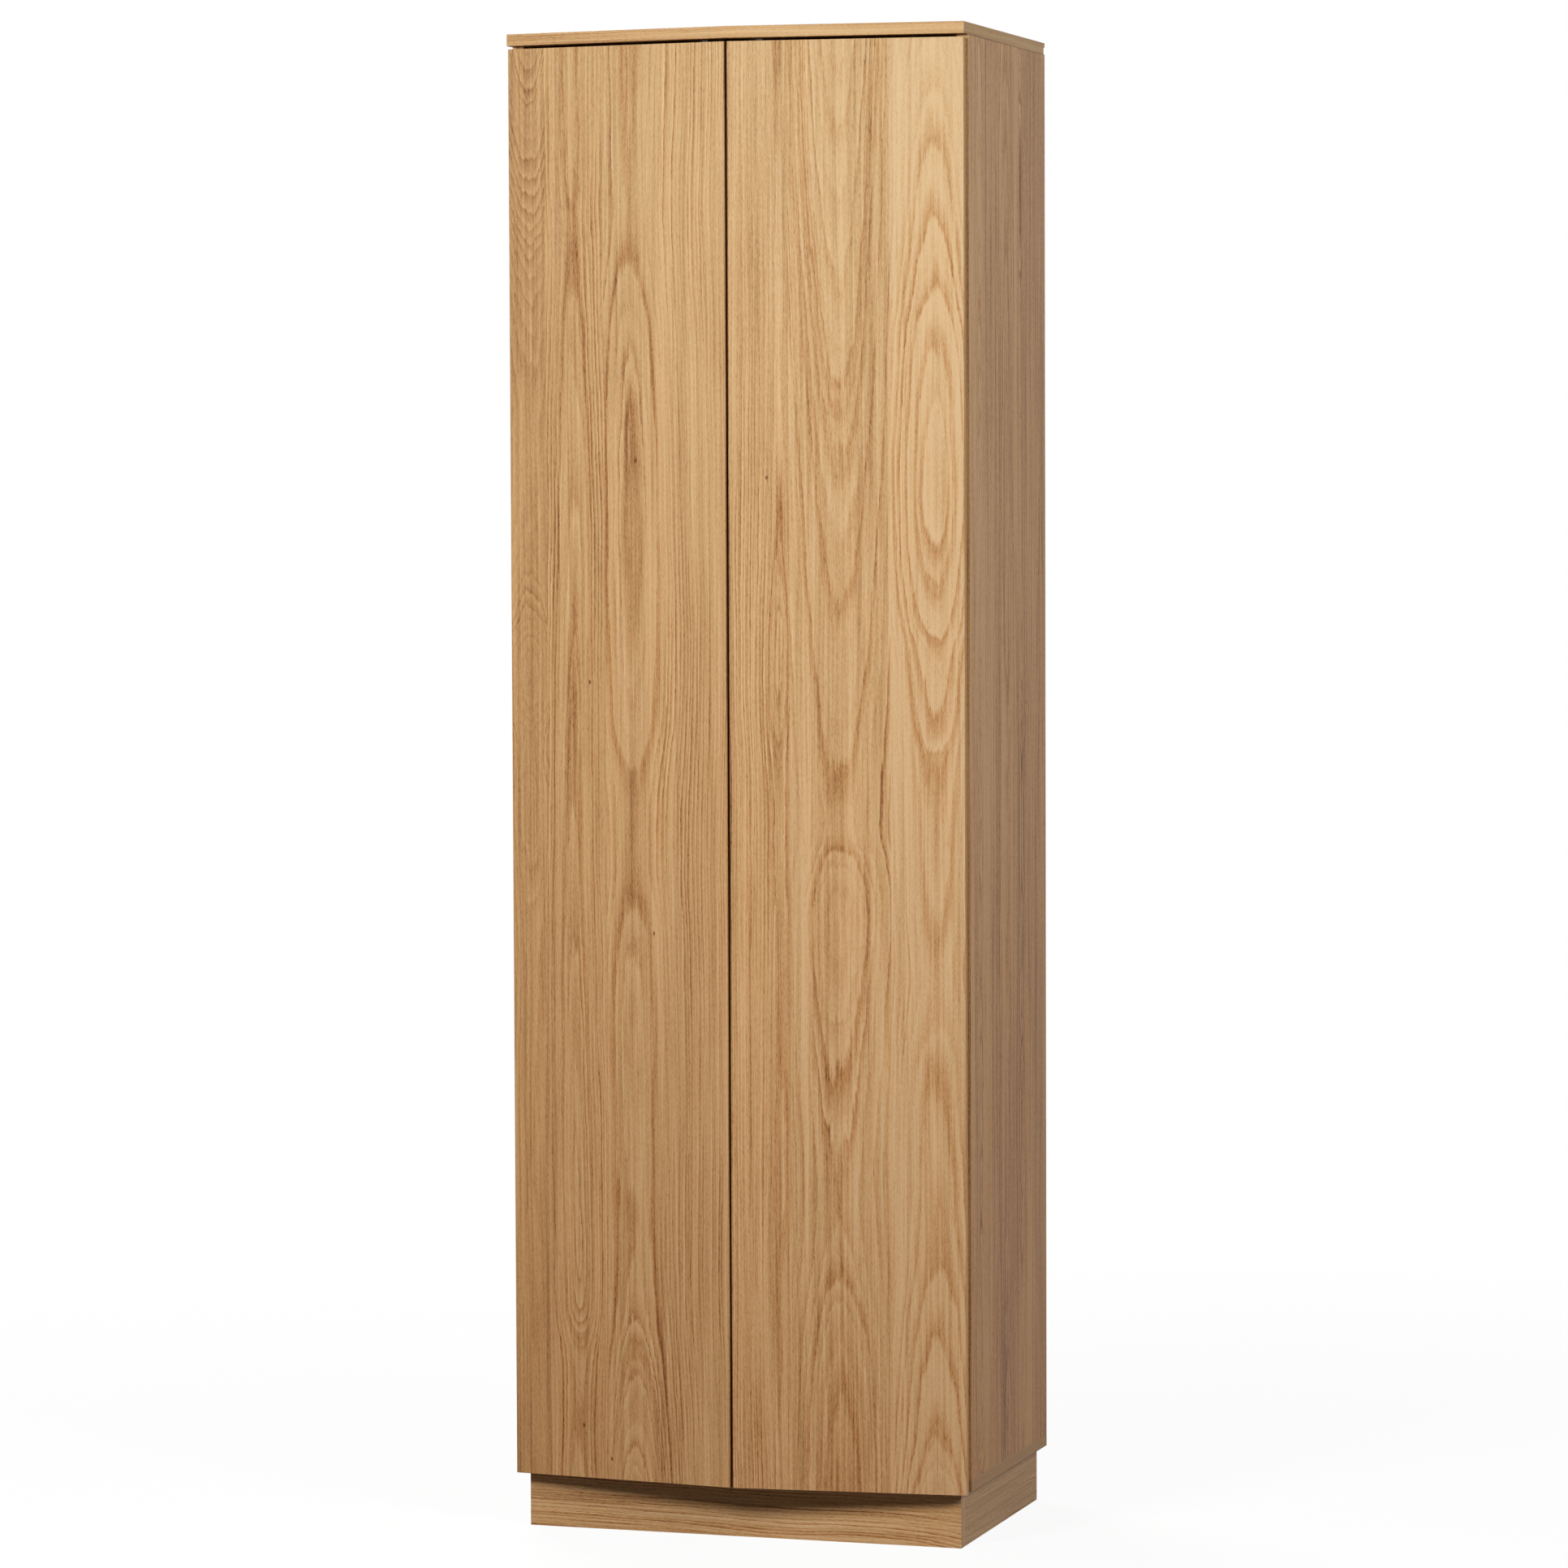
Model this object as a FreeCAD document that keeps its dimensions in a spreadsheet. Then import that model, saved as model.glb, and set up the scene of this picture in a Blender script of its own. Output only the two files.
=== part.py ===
import FreeCAD, Part
import math
import os
import Sketcher

# Tall cabinet in veneered board: a shallow V-shaped pair of flat doors that
# cover the whole carcass front, a lid whose front edge follows the V, shelves
# inside and a set-back plinth.
# Millimetres. +Z is up, the doors face -Y, and the origin is the middle of the
# footprint on the floor. Handed pieces are made for the right and mirrored.

Vector = FreeCAD.Vector
UP = Vector(0, 0, 1)
RIGHT = Vector(1, 0, 0)
REAR = Vector(0, 1, 0)

# The turn in degrees, and its axis, that aims an upright piece each way.
AIMS = (
    (UP, 0, RIGHT),
    (-UP, 180, RIGHT),
    (REAR, -90, RIGHT),
    (-REAR, 90, RIGHT),
    (RIGHT, 90, REAR),
    (-RIGHT, -90, REAR),
)

# The driving dimensions, one sheet row each.
LENGTHS = {
    # carcass
    "cabinet_width": 600.0,
    "cabinet_depth": 410.0,
    "cabinet_height": 1900.0,
    "ridge_forward": 30.0,
    "board": 15.0,
    "edge_round": 0.5,
    "plinth_height": 72.0,
    "back_board": 5.0,
    "side_rebate": 8.0,
    "lid_rebate": 9.0,
    "fit_gap": 0.3,
    "cut_overrun": 2.0,
    # shelves
    "shelf_front_setback": 30.0,
    "fixed_shelf_setback": 12.0,
    "shelf_end_gap": 0.5,
    "pin_radius": 2.5,
    "pin_play": 0.05,
    "pin_depth": 8.0,
    "pin_end_gap": 2.0,
    "pin_pitch": 32.0,
    "pin_front_line": 37.0,
    "pin_rear_line": 40.0,
    "pin_collar_radius": 3.6,
    "pin_collar": 1.2,
    "pin_spade_length": 7.5,
    "pin_spade_width": 6.0,
    "pin_spade": 1.8,
    # plinth
    "plinth_board": 16.0,
    "plinth_side_inset": 13.0,
    "plinth_front_setback": 19.0,
    "plinth_rear_setback": 2.0,
    "block_width": 30.0,
    "block_height": 55.0,
    "block_screw_radius": 2.0,
    "block_screw_length": 62.0,
    "block_screw_head_radius": 4.0,
    "block_screw_head": 2.4,
    # carcass joints
    "cam_radius": 7.4,
    "cam_depth": 12.3,
    "cam_play": 0.1,
    "cam_distance": 34.0,
    "cam_slot": 2.0,
    "cam_slot_depth": 3.0,
    "cam_mouth_play": 1.0,
    "bolt_radius": 3.2,
    "bolt_bore_radius": 4.0,
    "bolt_neck_radius": 2.0,
    "bolt_head_radius": 3.0,
    "bolt_head": 5.0,
    "bolt_thread_length": 10.5,
    "bolt_flange": 1.6,
    "bolt_front_line": 60.0,
    "bolt_rear_line": 55.0,
    "dowel_radius": 4.0,
    "dowel_play": 0.05,
    "dowel_length": 29.0,
    "dowel_in_panel": 10.0,
    "dowel_chamfer": 1.0,
    "dowel_from_bolt": 32.0,
    "back_screw_radius": 1.5,
    "back_screw_length": 16.0,
    "back_screw_head_radius": 3.0,
    "back_screw_head": 1.6,
    # doors
    "door_drop": 2.0,
    "door_board": 15.0,
    "door_top_gap": 3.8,
    "door_side_inset": 1.0,
    "door_setback": 1.5,
    "door_centre_gap": 2.5,
    "door_swing_gap": 2.1,
    # cup hinge
    "pivot_from_edge": 7.5,
    "cup_radius": 17.5,
    "cup_depth": 11.5,
    "cup_play": 0.05,
    "cup_edge_distance": 3.0,
    "cup_wall": 1.0,
    "cup_bevel": 1.5,
    "cup_flange": 1.0,
    "cup_flange_length": 62.0,
    "cup_flange_width": 15.0,
    "cup_flange_start": 2.5,
    "cup_flange_round": 5.0,
    "cup_collar": 1.2,
    "cup_lug_width": 7.0,
    "cup_lug_height": 8.0,
    "cup_screw_spacing": 45.0,
    "cup_screw_offset": 9.5,
    "cup_screw_radius": 1.7,
    "cup_screw_length": 10.0,
    "cup_screw_head_radius": 3.4,
    "cup_screw_head": 2.0,
    "hinge_pin_radius": 1.25,
    "hinge_pin_play": 0.05,
    "eye_radius": 2.3,
    "eye_gap": 1.2,
    "arm_strap": 2.5,
    "arm_half_width": 5.0,
    "arm_side_gap": 0.3,
    "arm_reach": 9.5,
    "arm_bend_radius": 5.0,
    "arm_length": 62.0,
    "arm_cheek": 1.2,
    "arm_cheek_start": 10.0,
    "arm_cheek_bevel": 4.0,
    "arm_cheek_gap": 1.5,
    "plate_setback": 37.0,
    "plate_base": 2.0,
    "plate_wing_length": 46.0,
    "plate_wing_width": 12.0,
    "plate_wing_round": 4.0,
    "plate_foot_length": 46.0,
    "plate_screw_spacing": 32.0,
    "plate_screw_radius": 2.0,
    "plate_screw_length": 10.0,
    "plate_screw_head_radius": 3.4,
    "plate_screw_head": 2.2,
    "saddle_play": 0.1,
    "saddle_length": 40.0,
    "saddle_bevel": 2.5,
    "clamp_screw_radius": 2.4,
    "clamp_screw_play": 0.05,
    "clamp_screw_margin": 1.0,
    "clamp_screw_head": 1.8,
    "clamp_screw_floor": 2.5,
    # push latch
    "latch_from_centre": 38.0,
    "latch_width": 16.0,
    "latch_height": 14.0,
    "latch_round": 2.8,
    "latch_rib_width": 8.0,
    "latch_foot_width": 34.0,
    "latch_foot_length": 20.0,
    "latch_foot": 3.0,
    "latch_front_setback": 7.0,
    "latch_end": 12.0,
    "latch_screw_radius": 1.75,
    "latch_screw_length": 13.0,
    "latch_screw_head_radius": 3.4,
    "latch_screw_head": 1.8,
    "plunger_radius": 4.0,
    "plunger_play": 0.1,
    "plunger_length": 46.0,
    "plunger_spare": 7.0,
    "plunger_tip": 3.0,
    "plunger_neck": 3.0,
    "plunger_neck_radius": 2.8,
    "plunger_chamfer": 0.8,
    "plunger_gap": 0.4,
    "strike_radius": 8.0,
    "strike": 1.5,
    "strike_bevel": 0.5,
    "strike_screw_radius": 1.5,
    "strike_screw_length": 9.0,
}

# Heights of the hinges, as shares of the door's height.
hinge_height_shares = (0.055, 0.37, 0.65, 0.945)
# Heights of the screws along the back, as shares of the side panel's height.
back_screw_shares = (0.03, 0.265, 0.5, 0.735, 0.97)
# How close to a plane an edge counts as on it, as a share of the board.
near_share = 0.001
# How steeply the arm dips from the door's plane towards the cup's bottom.
ARM_DIP_DEGREES = 10
FULL_TURN_DEGREES = 360
HOLES_PER_SHELF = 3
LOWER_SHELVES = 2
UPPER_SHELVES = 2


class Size:
    """A length or angle that carries its value and its formula on the sheet."""

    def __init__(self, value, formula):
        self.value = value
        self.formula = formula

    def __add__(self, other):
        other = size_of(other)
        return Size(self.value + other.value, f"({self.formula} + {other.formula})")

    def __sub__(self, other):
        other = size_of(other)
        return Size(self.value - other.value, f"({self.formula} - {other.formula})")

    def __mul__(self, other):
        other = size_of(other)
        return Size(self.value * other.value, f"({self.formula} * {other.formula})")

    def __truediv__(self, other):
        other = size_of(other)
        return Size(self.value / other.value, f"({self.formula} / {other.formula})")

    def __neg__(self):
        return Size(-self.value, f"(0 - {self.formula})")


def size_of(number):
    return number if isinstance(number, Size) else Size(float(number), repr(float(number)))


def long_side(first, second):
    """The long side of a right triangle with these two short sides."""
    square = first * first + second * second
    return Size(math.sqrt(square.value), f"sqrt({square.formula})")


def angle_of(rise, run):
    angle = math.degrees(math.atan2(rise.value, run.value))
    return Size(angle, f"atan({rise.formula} / {run.formula})")


def degrees(number):
    return Size(number, f"{number} deg")


def cosine(angle):
    return Size(math.cos(math.radians(angle.value)), f"cos({angle.formula})")


def sine(angle):
    return Size(math.sin(math.radians(angle.value)), f"sin({angle.formula})")


ZERO = size_of(0)
doc = FreeCAD.newDocument("tall_cabinet")
sheet = doc.addObject("Spreadsheet::Sheet", "Sizes")
for row, (alias, length) in enumerate(LENGTHS.items(), start=1):
    sheet.set(f"A{row}", alias.replace("_", " "))
    sheet.set(f"B{row}", str(length))
    sheet.setAlias(f"B{row}", alias)
doc.recompute()
nodes = {}


def size(alias):
    """A driving dimension, as it stands on the sheet."""
    return Size(float(getattr(sheet, alias)), f"Sizes.{alias}")


def bind(thing, name, length):
    """Binds one property of an object to a formula on the sheet."""
    thing.setExpression(name, size_of(length).formula)


def add(kind, name):
    return doc.addObject(kind, name)


def put(thing, place, angle=ZERO, axis=UP):
    """Places an object at bound coordinates, turned by a bound angle."""
    place = [size_of(length) for length in place]
    angle = size_of(angle)
    base = Vector(*[length.value for length in place])
    thing.Placement = FreeCAD.Placement(base, FreeCAD.Rotation(axis, angle.value))
    for letter, length in zip("xyz", place):
        bind(thing, f"Placement.Base.{letter}", length)
    if angle.value:
        bind(thing, "Placement.Rotation.Angle", angle)
    return thing


def aim(thing, start, direction):
    """Places an upright piece at a point, so that it runs along a direction."""
    turn, axis = next(aim[1:] for aim in AIMS if aim[0] == direction)
    return put(thing, start, turn, axis)


def box(name, low, sides):
    """A box from its lowest corner and its three sides."""
    block = add("Part::Box", name)
    for side, length in zip(("Length", "Width", "Height"), sides):
        bind(block, side, length)
    return put(block, low)


def rod(name, radius, length, start, direction=UP):
    """A round bar that starts at a point and runs along a direction."""
    bar = add("Part::Cylinder", name)
    bind(bar, "Radius", radius)
    bind(bar, "Height", length)
    return aim(bar, start, direction)


def cone(name, radius, end_radius, length, start, direction):
    taper = add("Part::Cone", name)
    bind(taper, "Radius1", radius)
    bind(taper, "Radius2", end_radius)
    bind(taper, "Height", length)
    return aim(taper, start, direction)


def join(name, pieces):
    whole = add("Part::MultiFuse", name)
    whole.Shapes = pieces
    return whole


def group(name, pieces):
    many = add("Part::Compound", name)
    many.Links = pieces
    return many


def cut(name, base, tools):
    """A piece with one or more tools taken away."""
    rest = add("Part::Cut", name)
    rest.Base = base
    rest.Tool = tools[0] if len(tools) == 1 else group(f"{name}_cuts", tools)
    return rest


def copies(name, master, places, angle=ZERO):
    """Separate copies of one piece, grouped."""
    links = []
    for number, place in enumerate(places, start=1):
        link = add("App::Link", f"{name}_{number}")
        link.LinkedObject = master
        link.LinkTransform = True
        links.append(put(link, place, angle))
    return group(name, links)


def mirrored(name, source):
    """The left-hand twin of a right-hand piece."""
    twin = add("Part::Mirroring", name)
    twin.Source = source
    twin.Normal = RIGHT
    return twin


def node(label, thing):
    """Names a finished sub-part, which is written to a file of that name."""
    thing.Label = label
    nodes[label] = thing


def handed(name, right):
    """Keeps a right-hand piece and its mirrored twin as two sub-parts."""
    node(f"{name}_right", right)
    node(f"{name}_left", mirrored(f"{name}_left", right))


def both_sides(name, right):
    """Keeps right-hand pieces and their mirrored twins as one sub-part."""
    node(name, group(f"{name}_set", [right, mirrored(f"{name}_left_side", right)]))


def new_body(name):
    return add("PartDesign::Body", name)


def sketch_on(body, role, name, offset=None):
    """A sketch on one of the body's own origin planes."""
    flat = body.newObject("Sketcher::SketchObject", name)
    plane = next(item for item in body.Origin.OriginFeatures if item.Role == role)
    flat.AttachmentSupport = [(plane, "")]
    flat.MapMode = "FlatFace"
    if offset is not None:
        bind(flat, "AttachmentOffset.Base.z", offset)
    return flat


def fix_point(flat, geometry, position, point):
    """Ties a sketch point to its two bound distances from the origin."""
    for kind, axis, length in zip(("DistanceX", "DistanceY"), (-2, -1), point):
        length = size_of(length)
        if length.value:
            rule = Sketcher.Constraint(kind, -1, 1, geometry, position, length.value)
            bind(flat, f"Constraints[{flat.addConstraint(rule)}]", length)
        else:
            flat.addConstraint(Sketcher.Constraint("PointOnObject", geometry, position, axis))


def flat_point(point):
    return Vector(size_of(point[0]).value, size_of(point[1]).value, 0)


def draw_bend(flat, radius, centre, start, end):
    """Draws an arc, and tells which of its ends is its start and which its end."""
    first, last = start - centre, end - centre
    backwards = first.cross(last).z < 0
    if backwards:
        first, last = last, first
    turn = [math.atan2(side.y, side.x) for side in (first, last)]
    number = flat.addGeometry(Part.ArcOfCircle(Part.Circle(centre, UP, radius.value), *turn))
    rule = flat.addConstraint(Sketcher.Constraint("Radius", number, radius.value))
    bind(flat, f"Constraints[{rule}]", radius)
    return (2, 1) if backwards else (1, 2)


def outline(flat, corners, bends=None):
    """Draws a closed outline through bound corners. Its edges are straight, but
    for the bends: an edge's number, with the radius and centre of its arc."""
    bends = bends or {}
    first = flat.GeometryCount
    points = [flat_point(corner) for corner in corners]
    ends = []
    for number, (start, end) in enumerate(zip(points, points[1:] + points[:1])):
        if number in bends:
            radius, centre = bends[number]
            ends.append(draw_bend(flat, radius, flat_point(centre), start, end))
        else:
            flat.addGeometry(Part.LineSegment(start, end))
            ends.append((1, 2))
    for number, corner in enumerate(corners):
        start, end = ends[number - 1][1], ends[number][0]
        before = first + (number - 1) % len(corners)
        rule = Sketcher.Constraint("Coincident", before, start, first + number, end)
        flat.addConstraint(rule)
        fix_point(flat, first + number, end, corner)


def rectangle(low, high):
    return [low, (high[0], low[1]), high, (low[0], high[1])]


def ring(flat, radius, centre):
    """Draws a circle of a bound radius about a bound centre."""
    radius = size_of(radius)
    number = flat.addGeometry(Part.Circle(flat_point(centre), UP, radius.value))
    rule = flat.addConstraint(Sketcher.Constraint("Radius", number, radius.value))
    bind(flat, f"Constraints[{rule}]", radius)
    fix_point(flat, number, 3, centre)


def pad(body, flat, length):
    solid = body.newObject("PartDesign::Pad", f"{flat.Name}_pad")
    solid.Profile = flat
    bind(solid, "Length", length)
    return solid


def pocket(body, flat, depth):
    """Cuts a sketch into the body along its normal, and makes sure it cut."""
    doc.recompute()
    before = body.Shape.Volume
    hollow = body.newObject("PartDesign::Pocket", f"{flat.Name}_pocket")
    hollow.Profile = flat
    hollow.Reversed = True
    bind(hollow, "Length", depth)
    doc.recompute()
    if body.Shape.Volume >= before:
        raise RuntimeError(f"{hollow.Name} cut nothing from {body.Name}")
    return hollow


def soften(body, solid, radius, wanted):
    """Rounds those edges of the body's last feature that a test picks."""
    doc.recompute()
    edges = enumerate(solid.Shape.Edges, start=1)
    rounding = body.newObject("PartDesign::Fillet", f"{body.Name}_rounding")
    rounding.Base = (solid, [f"Edge{number}" for number, edge in edges if wanted(edge)])
    bind(rounding, "Radius", radius)


def runs_along(edge, direction):
    run = edge.Vertexes[-1].Point - edge.Vertexes[0].Point
    return run.Length > 0 and abs(run.dot(direction)) > run.Length * (1 - near_share)


def rounded_block(name, low, sides, along):
    """A block whose four edges along one axis are rounded. Its sketch lies on
    the plane square to that axis. Give the sides, then the edges' radius."""
    *sides, radius = sides
    low = [size_of(length) for length in low]
    high = [start + length for start, length in zip(low, sides)]
    body = new_body(name)
    if along == RIGHT:
        flat = sketch_on(body, "YZ_Plane", f"{name}_outline", low[0])
        outline(flat, rectangle((low[1], low[2]), (high[1], high[2])))
        solid = pad(body, flat, sides[0])
    else:
        flat = sketch_on(body, "XZ_Plane", f"{name}_outline", -high[1])
        outline(flat, rectangle((low[0], low[2]), (high[0], high[2])))
        solid = pad(body, flat, sides[1])
    soften(body, solid, radius, lambda edge: runs_along(edge, along))
    return body


def turned(name, profile, direction, start=(0, 0, 0)):
    """A round piece, turned from half its outline: distances from the axis and
    along it. It is aimed along a direction."""
    body = new_body(name)
    half = sketch_on(body, "XZ_Plane", f"{name}_profile")
    outline(half, profile)
    spin = body.newObject("PartDesign::Revolution", f"{name}_turning")
    spin.Profile = half
    spin.ReferenceAxis = (half, ["V_Axis"])
    spin.Angle = FULL_TURN_DEGREES
    return aim(body, start, direction)


def screw(name, radius, length, head_radius, head, direction):
    """A screw with a low round head: its seat is at zero, its point ahead."""
    profile = [(ZERO, -head), (head_radius - head / 2, -head), (head_radius, -head / 2)]
    profile += [(head_radius, ZERO), (radius, ZERO), (radius, length - radius * 2)]
    return turned(name, profile + [(ZERO, length)], direction)


# Lengths that several pieces share, worked out from the sheet.
half_width = size("cabinet_width") / 2
board = size("board")
overrun = size("cut_overrun")
fit_gap = size("fit_gap")
rear = size("cabinet_depth") / 2
corner_line = size("ridge_forward") - rear
slope = size("ridge_forward") / half_width
lean = angle_of(size("ridge_forward"), half_width)
face_length = long_side(half_width, size("ridge_forward"))
lean_cos = half_width / face_length
lean_sin = size("ridge_forward") / face_length
inner_wall = half_width - board
board_middle = half_width - board / 2
floor_top = size("plinth_height") + board
lid_bottom = size("cabinet_height") - board
side_height = lid_bottom - floor_top
back_front = rear - size("back_board")
fixed_shelf_low = (floor_top + lid_bottom) / 2 - board / 2
fixed_shelf_middle = fixed_shelf_low + board / 2
near = board.value * near_share

# The door's own frame: its origin is the door's outer front corner, x runs
# outward along the face and y runs from the face into the cabinet.
door_board = size("door_board")
door_low = size("plinth_height") - size("door_drop")
door_height = lid_bottom - size("door_top_gap") - door_low
door_outer_x = half_width - size("door_side_inset")
door_outer_y = corner_line + size("door_setback") - slope * size("door_side_inset")
hinge_heights = [door_low + door_height * share for share in hinge_height_shares]
hinge_places = [(door_outer_x, door_outer_y, level) for level in hinge_heights]


def from_door(outward, inward):
    """Carries a point of the door's frame to the cabinet's."""
    x = door_outer_x + lean_cos * outward - lean_sin * inward
    y = door_outer_y + lean_sin * outward + lean_cos * inward
    return x, y


# The pin's axis lies as deep in the cup as the arm's eye needs. The carcass
# keeps clear of the door's rear corner, which swings round the pin.
cup_bottom = door_board - size("cup_depth")
cup_x = -(size("cup_edge_distance") + size("cup_radius"))
pivot_from_face = cup_bottom + size("cup_wall") + size("eye_gap") + size("eye_radius")
pivot_x, pivot_y = from_door(-size("pivot_from_edge"), pivot_from_face)
door_swing = long_side(size("pivot_from_edge"), door_board - pivot_from_face)
carcass_front = pivot_y + door_swing + size("door_swing_gap")
carcass_setback = carcass_front - corner_line

# Lines across the boards, counted from the carcass's front and from the back.
pin_lines = (carcass_front + size("pin_front_line"), back_front - size("pin_rear_line"))
bolt_lines = (carcass_front + size("bolt_front_line"), back_front - size("bolt_rear_line"))
dowel_lines = (bolt_lines[0] + size("dowel_from_bolt"), bolt_lines[1] - size("dowel_from_bolt"))
plate_y = carcass_front + size("plate_setback")


def vee(setback, half, back):
    """The outline of a board whose front edge follows the V at a setback."""
    end = corner_line + setback - slope * (half_width - half)
    ridge = corner_line + setback - size("ridge_forward")
    return [(-half, end), (ZERO, ridge), (half, end), (half, back), (-half, back)]


def on_vee(vertex, setback):
    """Whether a point of a board or door lies on the V at a setback."""
    line = corner_line + setback - slope * (half_width - abs(vertex.X))
    return abs(vertex.Y - line.value) < near


def loose_shelf_lows():
    """The undersides of the loose shelves, from the lowest up."""
    lower = (floor_top, fixed_shelf_low, LOWER_SHELVES)
    upper = (fixed_shelf_low + board, lid_bottom, UPPER_SHELVES)
    lows = []
    for low, high, count in (lower, upper):
        clear = (high - low - board * count) / (count + 1)
        lows += [low + clear * (i + 1) + board * i for i in range(count)]
    return lows


shelf_lows = loose_shelf_lows()


def make_lid():
    """The lid lies over the side panels and is rebated for the back."""
    body = new_body("lid_board")
    flat = sketch_on(body, "XY_Plane", "lid_outline")
    outline(flat, vee(ZERO, half_width, rear))
    pad(body, flat, board)
    step = sketch_on(body, "XY_Plane", "lid_rebate")
    far = half_width + overrun
    outline(step, rectangle((-far, back_front), (far, rear + overrun)))
    rebated = pocket(body, step, size("lid_rebate"))

    def shows(edge):
        on_top = all(vertex.Z > board.value - near for vertex in edge.Vertexes)
        under = all(vertex.Z < near and on_vee(vertex, ZERO) for vertex in edge.Vertexes)
        return on_top or under

    soften(body, rebated, size("edge_round"), shows)
    put(body, (0, 0, lid_bottom))
    bores = joint_bores("lid", lid_bottom, UP) + latch_screw_bores("lid", lid_bottom, UP)
    node("top_panel", cut("lid_drilled", body, bores))


def make_floor():
    """The bottom panel carries the side panels and follows the V in front."""
    body = new_body("floor_board")
    flat = sketch_on(body, "XY_Plane", "floor_outline")
    outline(flat, vee(carcass_setback, half_width, rear))
    pad(body, flat, board)
    step = sketch_on(body, "XY_Plane", "floor_rebate", board - size("side_rebate"))
    far = inner_wall + size("side_rebate")
    outline(step, rectangle((-far, back_front), (far, rear + overrun)))
    pocket(body, step, size("side_rebate") + overrun)
    put(body, (0, 0, size("plinth_height")))
    bores = joint_bores("floor", floor_top, -UP) + latch_screw_bores("floor", floor_top, -UP)
    node("bottom_panel", cut("floor_drilled", body, bores + block_screw_bores()))


def joint_bores(name, level, inward):
    """Bores in the lid or floor for the bolts and dowels of both sides."""
    dowel_bore = size("dowel_radius") + size("dowel_play")
    dowel_depth = size("dowel_in_panel") + fit_gap
    bolt_depth = size("bolt_thread_length")
    tools = []
    for side, hand in ((board_middle, "right"), (-board_middle, "left")):
        for line, place in zip(bolt_lines, ("front", "rear")):
            label = f"{name}_bolt_bore_{place}_{hand}"
            tools.append(rod(label, size("bolt_radius"), bolt_depth, (side, line, level), inward))
        for line, place in zip(dowel_lines, ("front", "rear")):
            label = f"{name}_dowel_bore_{place}_{hand}"
            tools.append(rod(label, dowel_bore, dowel_depth, (side, line, level), inward))
    return tools


def make_side_panels():
    """Side panel with its rebate for the back and every bore."""
    body = new_body("side_board")
    flat = sketch_on(body, "YZ_Plane", "side_outline")
    outline(flat, rectangle((carcass_front, ZERO), (rear, side_height)))
    pad(body, flat, board)
    step = sketch_on(body, "YZ_Plane", "side_rebate")
    outline(step, rectangle((back_front, -overrun), (rear + overrun, side_height + overrun)))
    pocket(body, step, size("side_rebate"))
    rows = sketch_on(body, "YZ_Plane", "shelf_pin_holes")
    for low in shelf_lows:
        for hole in range(HOLES_PER_SHELF):
            step_up = size("pin_pitch") * (hole - HOLES_PER_SHELF // 2)
            level = low - size("pin_radius") - floor_top + step_up
            for line in pin_lines:
                ring(rows, size("pin_radius"), (line, level))
    pocket(body, rows, size("pin_depth") + size("pin_end_gap"))
    put(body, (inner_wall, 0, floor_top))
    bores = end_bores() + shelf_joint_bores() + plate_screw_bores() + back_screw_bores()
    handed("side_panel", cut("side_drilled", body, bores))


def end_bores():
    """Bores at both ends of a side panel for its cams, bolts and dowels."""
    cam_bore = size("cam_radius") + size("cam_play")
    cam_bore_depth = size("cam_depth") + size("cam_play")
    dowel_bore = size("dowel_radius") + size("dowel_play")
    dowel_depth = size("dowel_length") - size("dowel_in_panel") + fit_gap
    tools = []
    for level, inward, end in ((floor_top, UP, "low"), (lid_bottom, -UP, "high")):
        cam_level = level + size("cam_distance") * inward.z
        for line, place in zip(bolt_lines, ("front", "rear")):
            start = (inner_wall, line, cam_level)
            tools.append(rod(f"cam_bore_{end}_{place}", cam_bore, cam_bore_depth, start, RIGHT))
            label = f"bolt_bore_{end}_{place}"
            start = (board_middle, line, level)
            bore = size("bolt_bore_radius")
            tools.append(rod(label, bore, size("cam_distance"), start, inward))
        for line, place in zip(dowel_lines, ("front", "rear")):
            start = (board_middle, line, level)
            tools.append(rod(f"dowel_bore_{end}_{place}", dowel_bore, dowel_depth, start, inward))
    return tools


def shelf_joint_bores():
    """Bores in a side panel's face for the fixed shelf's bolts and dowels."""
    dowel_bore = size("dowel_radius") + size("dowel_play")
    dowel_depth = size("dowel_in_panel") + fit_gap
    tools = []
    for line, place in zip(bolt_lines, ("front", "rear")):
        start = (inner_wall, line, fixed_shelf_middle)
        label = f"shelf_bolt_bore_{place}"
        tools.append(rod(label, size("bolt_radius"), size("bolt_thread_length"), start, RIGHT))
    for line, place in zip(dowel_lines, ("front", "rear")):
        start = (inner_wall, line, fixed_shelf_middle)
        tools.append(rod(f"shelf_dowel_bore_{place}", dowel_bore, dowel_depth, start, RIGHT))
    return tools


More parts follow.
